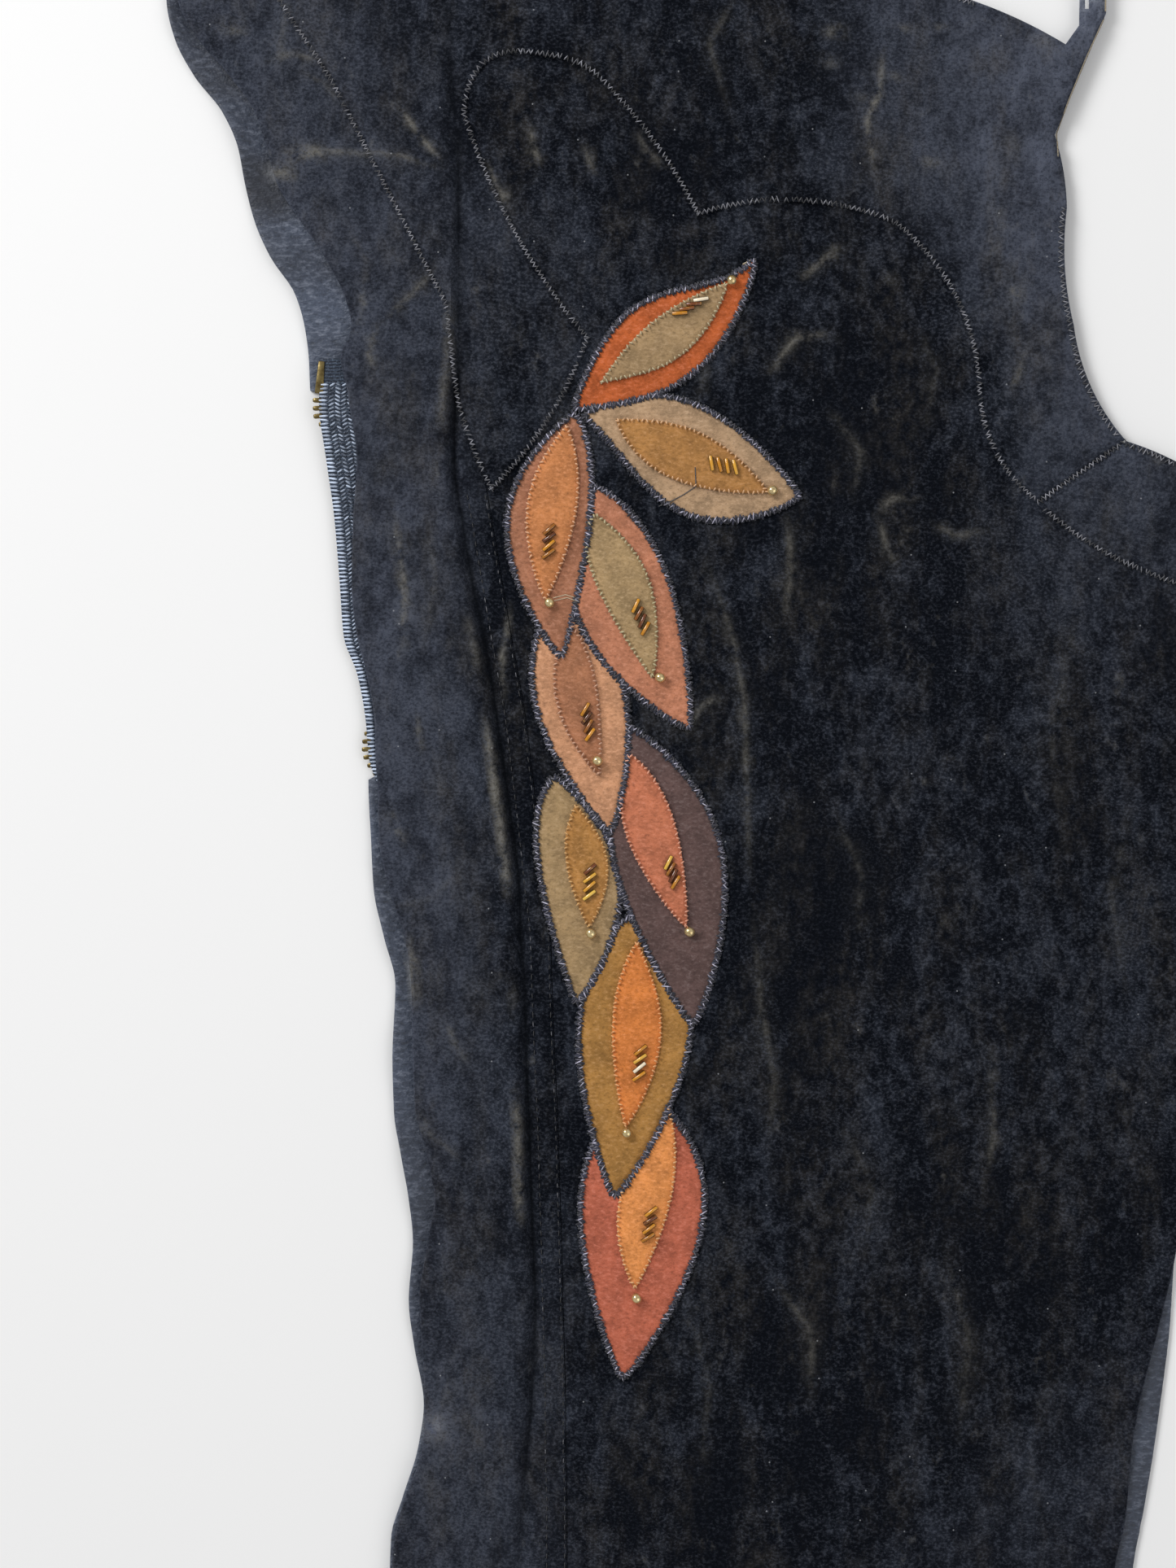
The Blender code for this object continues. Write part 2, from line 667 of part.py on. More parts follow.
def make_back():
    """One back panel a leg, its smooth side up."""
    outline = [point for run in BACK_RUNS for point in along(BACK_OUTER, *run)][:-1]
    outline += along(BACK_OUTER, COARSE_BELOW, -HALF_LENGTH)
    inseam = along(BACK_INSEAM, BACK_RISE[0][1] - 2.0, -HALF_LENGTH)
    outline += arc(outline[-1], inseam[-1], 0.0, 6)[1:]
    outline += reversed(inseam)
    outline += corners(BACK_RISE[:-1], BACK_RISE[-1][:2])
    outline += waist_run(BACK_RISE[-1][0], smooth(BACK_OUTER, HALF_LENGTH), 4, BACK_CUT_IN)
    both_legs(slab("back", BACK, outline, 0.0, LEATHER, rows_within=2.0), "back", "grain")


def make_front():
    """The main front panel, which runs up under the yoke."""
    outline = seam_line(waist_y(SEAM_WAIST_X) - CUT_IN, -HALF_LENGTH, GAP / 2)
    inseam = along(FRONT_INSEAM, INSEAM[0][0] - 2 * CUT_IN, -HALF_LENGTH)
    outline += arc(outline[-1], inseam[-1], 0.0, 6)[1:]
    outline += reversed(inseam)
    rise = [CROTCH_PIECE[1][:2]] + corners(CROTCH_EDGE, CROTCH_PIECE[1][:2])[::-1]
    outline += [(x - CUT_IN, y - CUT_IN) for x, y in rise if y < TAB_FOOT]
    outline += [(x - CUT_IN, y - CUT_IN) for x, y, _ in reversed(WAIST)]
    outline += waist_run(FRONT_WAIST_X, SEAM_WAIST_X, 4, CUT_IN)
    both_legs(slab("front", FRONT, outline, 0.0, LEATHER), "front", "suede")


def make_flap():
    """The side flap, from the open edge to the double row of stitching."""
    outline = along(FRONT_OUTER, HALF_LENGTH, COARSE_BELOW, 2)[:-1]
    outline += along(FRONT_OUTER, COARSE_BELOW, -HALF_LENGTH)
    seam = seam_line(waist_y(SEAM_WAIST_X) - CUT_IN, -HALF_LENGTH, -GAP / 2)
    outline += arc(outline[-1], seam[-1], 0.0, 3)[1:]
    outline += reversed(seam)
    outline += waist_run(FLAP_WAIST_X, WAIST_SIDE[0], 2, CUT_IN)
    both_legs(slab("flap", FRONT, outline, 0.0, LEATHER), "flap", "suede_flap")


def make_yoke():
    """The scalloped yoke, sewn on over the front, with its slotted tab."""
    outline = waist_run(YOKE_WAIST_X, WAIST[0][0], 10)
    outline += corners(WAIST + TAB + CROTCH_EDGE + YOKE_SCALLOPS, outline[0])
    slot = [(SLOT_X - SLOT_WIDTH / 2, SLOT_BOTTOM), (SLOT_X + SLOT_WIDTH / 2, SLOT_BOTTOM),
            (SLOT_X + SLOT_WIDTH / 2, SLOT_TOP), (SLOT_X - SLOT_WIDTH / 2, SLOT_TOP)]
    yoke = slab("yoke", FRONT, outline, LEATHER + GAP, LEATHER + GAP + OVERLAY)
    cutter = prism("slot_cutter", slot, -1.0, 20.0)
    both_legs(trimmed(yoke, [cutter]), "yoke", "suede_yoke")
    bpy.data.objects.remove(cutter)


def make_crotch_piece():
    """The small piece let in at the crotch, on the yoke's level."""
    outline = corners(CROTCH_PIECE[:-1], CROTCH_PIECE[-1][:2]) + [CROTCH_PIECE[-1][:2]]
    piece = slab("crotch", FRONT, outline, LEATHER + GAP, LEATHER + GAP + OVERLAY)
    both_legs(piece, "crotch_piece", "suede_yoke")


def make_zip():
    """Front and back halves of the zip tape, and the slider on the back half."""
    outer = [(tape_outer(y), y) for y in row_heights(ZIP_TOP, ZIP_BOTTOM, 1)]
    outline = outer + [(x + TAPE_WIDTH, y) for x, y in reversed(outer)]
    front_tape = slab("tape", FRONT, outline, -GAP - TAPE, -GAP)
    both_legs(front_tape, "zip_tape_front", "tape")
    line = [(x + TAPE_WIDTH + TAPES_APART, y) for x, y in outer]
    outline = line + [(x + BACK_TAPE_WIDTH, y) for x, y in reversed(line)]
    level = LEATHER + GAP
    both_legs(prism("tape", outline, level, level + TAPE), "zip_tape_back", "tape")
    x, y = slider_spot()
    level += TAPE + GAP
    shield = [(x + u * SLIDER_WIDTH / 2, y + v * SLIDER_LENGTH / 2) for u, v in SLIDER_SHAPE]
    slider = prism("slider", shield, level, level + SLIDER_HEIGHT - PULL_HEIGHT / 2)
    half = (SLIDER_LENGTH / 2 + PULL_LENGTH) / 2
    tongue = [(x + u * PULL_WIDTH / 2, y - half + v * half) for u, v in PULL_SHAPE]
    pull = prism("pull", tongue, level + PULL_LIFT, level + PULL_LIFT + PULL_HEIGHT)
    both_legs(trimmed(slider, [pull], "UNION"), "zip_slider", "brass")
    bpy.data.objects.remove(pull)


def make_leaves():
    """Nine two-tone leaves a leg; a leaf that lies under others is cut back to their edges."""
    low = LEATHER + GAP
    inlay_low = low + APPLIQUE + GAP
    cutters = {name: prism("cutter_" + name, leaf_outline(row, LEAF_STEPS, GAP), -2.0, 30.0)
               for name, row in LEAVES.items()}
    yoke_edge = corners(YOKE_SCALLOPS, YOKE_CUT[0]) + list(YOKE_CUT)
    yoke_cutter = prism("cutter_yoke", yoke_edge, -2.0, 30.0)
    for name, row in LEAVES.items():
        over = [cutters[k] for k in LIES_UNDER[name]]
        if name in "123":
            over.append(yoke_cutter)
        leaf = slab("leaf", FRONT, leaf_outline(row, LEAF_STEPS), low, low + APPLIQUE)
        both_legs(trimmed(leaf, over), "leaf_" + name, "leaf_" + name)
        inlay = slab("inlay", FRONT, leaf_outline(INLAYS[name], INLAY_STEPS),
                     inlay_low, inlay_low + APPLIQUE)
        both_legs(trimmed(inlay, over), "inlay_" + name, "inlay_" + name)
    for cutter in list(cutters.values()) + [yoke_cutter]:
        bpy.data.objects.remove(cutter)


def make_belt():
    """The back belt, one strap that laps onto both back panels and lies down between them."""
    end = BACK_RISE[-1][0] - BELT_LAP
    level = LEATHER + GAP
    run = [(end, level)]
    for i in range(BELT_STEPS + 1):
        t = i / BELT_STEPS
        run.append((BELT_DROP_X + BELT_DROP_RUN * t, level * (1 - ease(t))))
    run += [(-x, z) for x, z in reversed(run)]
    profile = run + [(x, z + BELT_THICK) for x, z in reversed(run)]
    bm = bmesh.new()
    face = bm.faces.new([bm.verts.new((x, BELT_Y - BELT_WIDTH / 2, z)) for x, z in profile])
    raised = bmesh.ops.extrude_face_region(bm, geom=[face], use_keep_orig=True)
    for v in (g for g in raised["geom"] if isinstance(g, bmesh.types.BMVert)):
        v.co.y += BELT_WIDTH
    bmesh.ops.recalc_face_normals(bm, faces=bm.faces[:])
    belt = to_object("belt", bm)
    belt.data.materials.append(material("suede"))


def main():
    """Clear the scene and model the chaps."""
    for old in list(bpy.data.objects):
        bpy.data.objects.remove(old)
    make_back()
    make_front()
    make_flap()
    make_yoke()
    make_crotch_piece()
    make_zip()
    make_leaves()
    make_belt()


main()
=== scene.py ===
# Looks for the suede show chaps, laid flat and face up with both side zips open.
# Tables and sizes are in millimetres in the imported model's frame, and meshes are in metres.
# Everything is drawn for the right leg, which lies at -X, and the left leg is its mirror
# image but for the depth of its creases.

import math

import bmesh
import bpy
import numpy as np
from mathutils import Matrix, Vector


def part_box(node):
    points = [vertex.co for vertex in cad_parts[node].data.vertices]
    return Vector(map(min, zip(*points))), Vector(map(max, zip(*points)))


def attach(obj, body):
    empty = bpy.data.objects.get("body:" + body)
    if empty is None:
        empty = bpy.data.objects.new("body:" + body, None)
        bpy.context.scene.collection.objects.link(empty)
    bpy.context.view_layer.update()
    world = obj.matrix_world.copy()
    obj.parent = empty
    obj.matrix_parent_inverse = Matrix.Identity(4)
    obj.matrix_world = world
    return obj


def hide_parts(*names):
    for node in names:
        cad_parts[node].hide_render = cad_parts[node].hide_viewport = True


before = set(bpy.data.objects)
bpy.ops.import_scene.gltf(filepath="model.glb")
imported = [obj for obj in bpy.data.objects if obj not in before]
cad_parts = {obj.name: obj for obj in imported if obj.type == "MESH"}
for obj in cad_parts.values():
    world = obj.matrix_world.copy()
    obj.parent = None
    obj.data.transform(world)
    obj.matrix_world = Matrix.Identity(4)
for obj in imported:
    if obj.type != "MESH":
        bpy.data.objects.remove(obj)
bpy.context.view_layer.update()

bl_info = {
    "name": "Suede Show Chaps",
    "version": (1, 0, 0),
    "blender": (4, 5, 0),
    "location": "3D View > Sidebar > Chaps",
    "description": "Suede chaps with leaf appliques, laid flat",
    "category": "Object",
}

MM = 0.001
SIDES = {"r": 1.0, "l": -1.0}
# Clear space between two pieces that lie on each other
GAP = 0.3
HALF_LENGTH = 508.0
# How far the front and flap stop short of the edges that the yoke covers
CUT_IN = 0.8
# Half width of the chalky line along a crease's crest
CREST = 1.05
# How far the flap runs past the seam line, and how far in from its edge it is stitched again
FLAP_LAP = 7.5
ROW_INSET = 0.9
# How far the ridge's top lies outside the fold line, and the groove inside it
RIDGE_OUT = 3.4
GROOVE_IN = 0.9
ZIP_TOP = 286.5
ZIP_BOTTOM = -496.0
TAPE_WIDTH = 19.0
TAPES_APART = 4.0
BACK_TAPE_WIDTH = 14.0

# Heights of the front's underside above the table
UNDER_OUTER = 3.5
UNDER_INNER = 2.1
UNDER_WAIST = 4.9
# Heights of the upper faces above that underside
WALL = 1.6
LEAF_TOP = 2.9
YOKE_TOP = 3.3
INLAY_TOP = 4.2
# The least share of its box that a sheet's stated area may be
LEAST_FILL = 0.31

# Sections down the leg: y, back's outer edge, front's outer edge, fold line and seam line
SECTIONS = (
    (510, -398.5, -393, -300, -295), (463.5, -398, -394, -297.5, -292.5),
    (418.5, -396.5, -392, -294, -289.5), (405, -393.5, -385, -293, -288.5),
    (391.5, -386.5, -373.5, -292, -287.5), (378, -376, -364, -291, -286.5),
    (364.5, -370, -359.5, -290, -286), (351, -367.5, -355.5, -289.5, -285.5),
    (337.5, -364, -347, -289, -285), (324, -358, -338, -288.5, -284.5),
    (310.5, -349, -331, -288.5, -284.5), (298.5, -345.5, -328, -288.5, -284.5),
    (286.5, -344, -332, -288.5, -285), (275, -343.5, -329.5, -290, -286),
    (271, -326, -329, -290.5, -286.5), (250, -321, -326, -291, -287),
    (226, -321, -327.5, -288, -283.5), (202, -321, -328, -284, -279.5),
    (184, -319, -326, -280, -276.5), (170, -316, -322.5, -277.5, -274),
    (152, -314, -319.5, -275, -271), (135, -315, -319, -272.5, -269),
    (131, -322, -318.5, -272, -268.5), (109.5, -321, -318, -269, -266),
    (90.5, -320, -314, -267, -264), (72.5, -316, -308.5, -266.5, -262),
    (55.5, -312, -306, -265, -261.5), (28.5, -313, -305.5, -264.5, -260.5),
    (8, -312.5, -304.5, -263.5, -259.5), (-7, -310, -300.5, -263, -259),
    (-24, -307, -297.5, -262.5, -258.5), (-40, -305.5, -300, -262, -258),
    (-61.5, -307, -303, -261, -257.5), (-78.5, -305, -302, -261.5, -257),
    (-100, -301.5, -301, -262.5, -256.5), (-115.5, -303.5, -302, -264, -256.5),
    (-135, -309.5, -308.5, -265.5, -256), (-148.5, -313.5, -312, -266, -256),
    (-159.5, -314, -313, -266.5, -256), (-271.5, -316.5, -315.5, -270, -256),
    (-391.5, -325.5, -324, -274.5, -257), (-510, -333, -331.5, -277.5, -258),
)

# Teeth edge of the front zip tape where the zip swings clear of the leather: y and x
TAPE_EDGE = (
    (286.5, -338.5), (270, -340), (250, -337.5), (228, -334.5), (204, -332.5), (184, -331),
    (170, -326), (154, -323), (138, -321.5), (128, -317.5),
)

# Inseam: y, front's edge and back's edge
INSEAM = (
    (223.5, -3, -3.5), (178.5, -6, -6.5), (118.5, -10.5, -11), (28.5, -16.5, -17),
    (-40, -23, -23.5), (-71.5, -30, -25.5), (-99.5, -37, -29), (-114, -39.5, -31),
    (-144, -42.5, -36), (-159.5, -46, -39), (-271.5, -52, -47), (-391.5, -48, -45),
    (-508, -40, -38),
)

# Corners of each outline: x, y and how far the arc to the next corner swells outward
WAIST = ((-98.5, 418.5, 1.0), (-64.5, 402.5, 0.0))
CROTCH_EDGE = (
    (-49.5, 414, 0), (-68.5, 369, 1), (-64, 342, -2), (-61.5, 299, -3.5), (-42.5, 256.5, 0),
)
TAB = ((-59.5, 409.5, 0.0), (-59.0, 436.5, 3.0), (-49.5, 436.5, 0.0))
YOKE_SCALLOPS = (
    (-75.5, 233.5, 6), (-97, 278.5, -7), (-128, 336.5, -6.5), (-200.5, 339, -2),
    (-232, 384.5, -3.3), (-257.5, 398, -10.5), (-286, 376.5, -4.5), (-240.5, 294, 4),
    (-276.5, 237.5, 1), (-289.5, 272, 0), (-293.5, 306, 0), (-335.5, 388, 0), (-354.5, 417.5, 6),
)
CROTCH_PIECE = (
    (-42, 256, 1), (-15, 243.5, 2.5), (-3, 223.5, 0), (-5, 197.5, 1), (-47, 213, 1),
    (-75, 232.8, 0),
)
WAIST_SIDE = (-394.0, HALF_LENGTH)
WAIST_BOW = 8.0
YOKE_WAIST_X = -384.0
SEAM_WAIST_X = -283.0
SEAM_SHOWS = 240.0
TAB_FOOT = 400.0
SLOT = (-57.35, -55.85, 415.5, 430.5)
BACK_RISE = (
    (-8, 221, 0), (-66, 233, -14), (-160, 370, -12), (-238, 484, 0),
)

# y, height of the ridge rolled up beside the fold, and lift of the back's free edge
ROLL = (
    (510, 0.6, 0.4), (463.5, 0.9, 1.8), (418.5, 1.4, 2.6), (391.5, 1.6, 1), (370, 1.8, 3.2),
    (345, 2.2, 0.8), (320, 3, 3), (300, 3.4, 1.2), (282, 3.3, 0.1), (255, 3, 0), (215, 2.2, 0),
    (180, 3.2, 0), (150, 2.4, 0), (131, 3.2, 0), (110, 3.4, 2), (90, 2.8, 0.8), (72, 2.2, 2.6),
    (50, 1.8, 0.7), (28, 2, 2.3), (8, 2.8, 0.9), (-15, 3.2, 2.6), (-40, 2.6, 0.8), (-62, 1.8, 1.9),
    (-90, 1.6, 0.5), (-112, 1.8, 2.4), (-135, 1.4, 0.8), (-160, 1.2, 1.6), (-215, 1.6, 0.5),
    (-271.5, 2.2, 2.2), (-330, 1.4, 0.6), (-391.5, 2.2, 2.4), (-450, 1.4, 0.6), (-510, 1.8, 2),
)

# How pale the smooth side of the back is painted down the leg, a painted sheen: y and tone
GRAIN_TONES = (
    (510, 0.45), (430, 0.3), (388, 0.15), (378, 0.55), (367, 0.55), (359, 0.05), (343, 0.1),
    (335, 0.65), (322, 0.35), (306, 0.9), (290, 0.6), (279, 0.95), (131, 0.55), (110, 0.7),
    (96, 0.3), (72, 0.75), (56, 0.4), (20, 0.7), (-20, 0.3), (-62, 0.55), (-100, 0.25),
    (-115, 0.6), (-150, 0.35), (-510, 0.55),
)

# Long soft folds of the front: x1, y1, x2, y2, height and width
SOFT_FOLDS = (
    (-196, 215, -172, -20, 1.8, 26), (-150, 330, -210, 420, 1.4, 30),
    (-95, 150, -92, -40, 1.6, 34), (-160, -70, -158, -240, 1.8, 28),
    (-110, -180, -118, -430, 2, 34), (-215, -230, -222, -470, 1.8, 30),
    (-60, 60, -66, -120, 1.2, 26),
)

# Creases, listed one by one. Each row has its line's points, its height (a trough's is below 0),
# its width, how dusty its crest is, and the share of its height on the left leg.
CREASES = (
    (((-358, 354), (-354, 359), (-337, 363), (-310, 361), (-295, 356)), 0.8, 4.5, 0.55, 0.6),
    (((-132, 400), (-133, 385), (-138, 374), (-135, 354)), 0.7, 3.5, 0.9, 0.8),
    (((-310, 379), (-304, 370), (-295, 359)), 0.6, 4.0, 0.8, 1.1),
    (((-278, 359), (-274, 349), (-270, 341)), 0.6, 3.5, 0.8, 0.9),
    (((-262, 372), (-261, 364), (-258, 358)), 0.5, 3.0, 0.7, 0.5),
    (((-242, 366), (-241, 361), (-238, 354)), 0.4, 2.6, 0.5, 1.2),
    (((-306.5, 74), (-306, 66), (-305, 46)), 1.0, 3.0, 0.9, 0.7),
    (((-304, 5), (-295, -3), (-286, -11)), 0.9, 5.0, 0.3, 1.2),
    (((-206, 146), (-200, 157), (-191, 163)), 0.8, 4.0, 0.55, 0.8),
    (((-174, 281), (-164, 294), (-150, 296)), 0.8, 4.5, 0.7, 0.7),
    (((-163, 315), (-155, 322), (-147, 328)), 0.6, 4.0, 0.75, 1.0),
    (((-269.5, 196), (-270.5, 186), (-272.5, 176), (-271.5, 160)), 0.5, 2.6, 0.8, 0.9),
    (((-297, 320), (-302, 314), (-310, 306), (-316, 300)), 0.6, 3.5, 0.55, 0.9),
    (((-318, 299), (-322, 288), (-318, 280)), 0.4, 3.0, 0.5, 1.0),
    (((-223, 371), (-219, 363), (-212, 357)), 0.5, 3.5, 0.45, 1.0),
    (((-360, 395), (-350, 399), (-338, 396)), 0.5, 4.0, 0.5, 0.9),
    (((-346, 392), (-338, 388), (-331, 380)), 0.4, 4.0, 0.4, 1.0),
    (((-205, 300), (-198, 284), (-200, 268)), 0.5, 5.0, 0.25, 1.0),
    (((-152, 268), (-140, 252), (-143, 236)), 0.6, 5.0, 0.3, 0.8),
    (((-120, 300), (-112, 282), (-116, 262)), 0.6, 6.0, 0.2, 1.0),
    (((-197, 212), (-188, 186), (-183, 160), (-182, 120), (-181, 94)), 0.9, 4.5, 0.5, 0.8),
    (((-180, 80), (-177, 50), (-172, 20), (-174, -2)), 0.8, 6.0, 0.35, 0.9),
    (((-93, 32), (-91, -1), (-95, -17)), 0.8, 5.0, 0.4, 1.1),
    (((-174, -50), (-158, -73), (-159, -97)), 0.9, 6.0, 0.4, 0.8),
    (((-85, 313), (-81, 307)), 0.4, 3.0, 0.6, 0.8),
    (((-79, 290), (-82, 281), (-85, 274)), 0.6, 4.0, 0.6, 0.9),
    (((-135, 229), (-128, 235), (-117, 235)), 0.6, 4.0, 0.5, 0.8),
    (((-113, 225), (-104, 221), (-94, 223)), 0.6, 4.0, 0.5, 0.9),
    (((-167, 228), (-166, 210), (-168, 190)), 0.9, 4.5, 0.6, 0.7),
    (((-133, 227), (-131, 218), (-127, 210)), 0.6, 4.0, 0.5, 0.9),
    (((-313, 119), (-311, 112), (-308, 106)), 0.7, 4.5, 0.6, 0.9),
    (((-304, 156), (-303, 148), (-302, 141)), 0.5, 3.0, 0.5, 0.8),
    (((-293, 42), (-290, 34), (-285, 26)), 0.8, 4.0, 0.4, 0.8),
    (((-313, 84), (-299, 87), (-289, 96)), 0.8, 6.0, 0.25, 0.9),
    (((-311, 66), (-297, 66), (-285, 60)), -0.5, 6.0, 0.0, 0.9),
    (((-286, 76), (-285, 54), (-289, 34)), -0.5, 7.0, 0.0, 0.8),
    (((-301, -98), (-291, -111), (-286, -118), (-283, -131)), -0.6, 4.5, 0.0, 0.9),
    (((-296, -92), (-285, -104), (-279, -118)), 0.9, 6.0, 0.15, 0.9),
    (((-307, -118), (-301, -126), (-296, -141)), 0.8, 7.0, 0.1, 1.1),
    (((-150, 120), (-140, 96), (-141, 70)), 0.6, 9.0, 0.2, 1.0),
    (((-130, 180), (-112, 150), (-106, 118)), -0.5, 10.0, 0.0, 0.9),
    (((-60, 190), (-70, 150), (-66, 110)), 0.8, 10.0, 0.15, 1.1),
    (((-40, 120), (-48, 90), (-42, 52)), 0.6, 8.0, 0.2, 0.8),
    (((-150, 10), (-136, -18), (-139, -52)), 0.8, 9.0, 0.15, 0.9),
    (((-110, -40), (-100, -75), (-104, -112)), 0.9, 9.0, 0.2, 1.1),
    (((-205, -60), (-196, -92), (-199, -128)), 0.7, 8.0, 0.2, 0.9),
    (((-70, -90), (-78, -118), (-72, -150)), 0.7, 8.0, 0.1, 0.9),
    (((-186, 420), (-196, 402), (-190, 380)), 0.8, 8.0, 0.25, 1.0),
    (((-330, 470), (-322, 440), (-327, 410)), 0.9, 9.0, 0.2, 0.9),
    (((-360, 440), (-352, 415), (-356, 392)), 0.9, 7.0, 0.35, 1.1),
    (((-225, 455), (-205, 438), (-170, 432)), 0.7, 8.0, 0.2, 0.9),
    (((-332, 340), (-322, 322), (-325, 296)), 0.8, 6.0, 0.2, 1.0),
    (((-300, 230), (-297, 205), (-301, 180)), 0.8, 6.0, 0.25, 0.9),
    (((-313, 234), (-310.5, 218), (-308.5, 202), (-309, 176)), 0.5, 5.0, 0.8, 1.0),
    # below the picture
    (((-150, -180), (-138, -215), (-142, -262)), 0.9, 10.0, 0.2, 1.1),
    (((-205, -190), (-190, -228), (-195, -270)), 0.8, 8.0, 0.3, 0.8),
    (((-90, -215), (-84, -250), (-90, -290)), 0.8, 9.0, 0.15, 0.9),
    (((-240, -250), (-231, -290), (-236, -335)), 0.9, 8.0, 0.2, 1.1),
    (((-180, -300), (-165, -335), (-170, -378)), 0.9, 10.0, 0.25, 0.8),
    (((-120, -345), (-108, -375), (-112, -420)), 0.8, 8.0, 0.2, 1.0),
    (((-215, -400), (-204, -430), (-209, -470)), 0.9, 9.0, 0.2, 0.9),
    (((-70, -360), (-64, -395), (-70, -440)), 0.7, 8.0, 0.1, 1.1),
    (((-300, -200), (-291, -232), (-296, -280)), 0.8, 7.0, 0.2, 0.8),
    (((-306, -330), (-298, -362), (-303, -410)), 0.9, 8.0, 0.25, 1.1),
    (((-290, -440), (-298, -465), (-294, -500)), 0.7, 7.0, 0.1, 0.9),
)

# Stretches of the ridge beside the fold painted pale along its crest, a painted highlight mixed
# with chalky wear: from y, to y and strength
RIDGE_HIGHLIGHT_AND_WEAR = (
    (312, 256, 0.45), (196, 166, 0.35), (157, 84, 0.85), (60, 40, 0.3), (20, -36, 0.7),
    (-170, -230, 0.5), (-300, -330, 0.4), (-400, -455, 0.6),
)

# Chalky blots: x, y, half width, half height and strength
BLOTS = (
    (-353.6, 355.2, 4.5, 2.6, 1), (-345, 362, 6, 3, 0.9), (-373, 408.6, 5, 2.4, 0.8),
    (-150.2, 406.9, 4, 2.2, 0.7), (-152.6, 396, 3, 2, 0.5), (-127.6, 390.1, 2.2, 1.6, 0.6),
    (-114.1, 358.4, 2.6, 1.6, 0.9), (-124.5, 408.1, 3, 1.4, 0.5), (-111, 408, 3, 1.4, 0.4),
    (-139.7, 382.4, 2, 2, 0.4), (-84.2, 364.7, 2, 4, 0.35), (-73.2, 403.8, 3, 2.5, 0.5),
    (-89.7, 340.3, 0.9, 0.9, 1.6), (-129.4, 315.2, 0.9, 0.7, 1.2), (-82.9, 310.9, 2.5, 4, 0.4),
    (-297.5, -108, 4, 5, 0.7), (-331, 268, 2, 6, 0.4),
)

# Patches of paler and darker nap, partly brushed nap and partly painted glare, strongest over the
# top right corner: x, y, half width, half height and strength
PALE_NAP_AND_GLARE = (
    (-40, 400, 95, 90, 0.55), (-50, 310, 55, 80, 0.34), (-20, 240, 40, 40, 0.06),
    (-345, 320, 38, 90, 0.3), (-318, 190, 28, 90, 0.24), (-300, 60, 26, 90, 0.18),
    (-295, -110, 34, 60, 0.15), (-262, 335, 26, 32, 0.12), (-385, 430, 40, 50, 0.28),
    (-110, 60, 60, 40, 0.06), (-160, 200, 60, 26, 0.1), (-80, -100, 60, 60, 0.08),
    (-255, -150, 26, 70, 0.14), (-180, -300, 90, 60, 0.1), (-300, -360, 34, 110, 0.2),
    (-53, 430, 12, 16, 1.5), (-297.5, -108, 4, 6, 1), (-130, -230, 130, 110, 0.07),
    (-305, 0, 26, 420, 0.1), (-155, 120, 34, 110, -0.45), (-122, 288, 38, 48, -0.35),
    (-100, 50, 60, 60, -0.15), (-150, 255, 60, 40, -0.3), (-210, 420, 60, 70, -0.25),
    (-125, -60, 60, 60, -0.25), (-262, 190, 12, 120, -0.35), (-200, -140, 50, 60, -0.3),
)

# Outer leaves and the inlays on them: base x and y, tip x and y, then left width, where it is
# widest, right width and where that is widest, looking from base to tip. The last value is under
# 1 where the left side runs full to the tip, and over 1 where it runs hollow.
LEAVES = {
    1: (-245.5, 267.5, -179.5, 322.5, 14.8, 0.44, 17.5, 0.50, 2.4),
    2: (-242.5, 265.0, -163.0, 235.5, 18.5, 0.42, 20.5, 0.58, 0.8),
    3: (-246.0, 266.0, -250.5, 176.5, 8.0, 0.35, 22.5, 0.46, 0.8),
    4: (-238.0, 239.0, -203.5, 150.0, 12.7, 0.40, 23.5, 0.46, 0.8),
    5: (-253.5, 196.5, -232.5, 112.0, 17.5, 0.42, 15.5, 0.42, 0.8),
    6: (-225.5, 150.5, -202.0, 41.0, 23.5, 0.45, 16.0, 0.42, 0.8),
    7: (-252.5, 132.0, -245.0, 49.0, 20.0, 0.48, 9.5, 0.33, 0.8),
    8: (-226.0, 80.0, -231.0, -22.5, 25.0, 0.38, 16.0, 0.40, 0.8),
    9: (-220.5, 16.5, -228.0, -89.5, 25.5, 0.40, 20.0, 0.38, 0.8),
}
INLAYS = {
    1: (-236.5, 277.0, -189.5, 314.0, 5.8, 0.50, 10.6, 0.52, 0.8),
    2: (-230.5, 264.0, -174.5, 237.0, 9.0, 0.50, 11.0, 0.42, 0.8),
    3: (-248.5, 262.0, -256.5, 197.0, 7.5, 0.44, 11.0, 0.48, 0.8),
    4: (-238.0, 229.0, -217.0, 168.5, 10.7, 0.46, 8.5, 0.32, 0.8),
    5: (-249.5, 190.5, -236.5, 132.5, 6.3, 0.38, 9.7, 0.50, 0.8),
    6: (-225.5, 140.5, -204.5, 76.5, 8.0, 0.40, 10.5, 0.42, 0.8),
    7: (-245.0, 122.0, -240.5, 76.5, 9.5, 0.50, 6.0, 0.42, 0.8),
    8: (-222.5, 71.5, -227.0, 3.0, 11.0, 0.50, 7.3, 0.42, 0.8),
    9: (-212.0, 14.0, -223.5, -56.5, 8.0, 0.45, 11.0, 0.58, 0.8),
}
# The leaves that lie over each leaf, and the leaves that the yoke lies over
LIES_UNDER = {1: (), 2: (1,), 3: (1, 2), 4: (2, 3), 5: (3, 4), 6: (4, 5), 7: (5, 6), 8: (6, 7),
              9: (8,)}
UNDER_YOKE = (1, 2, 3)
# How full a leaf's sides run at its base and its tip
LEAF_BASE = 1.0
LEAF_TIP = 0.8
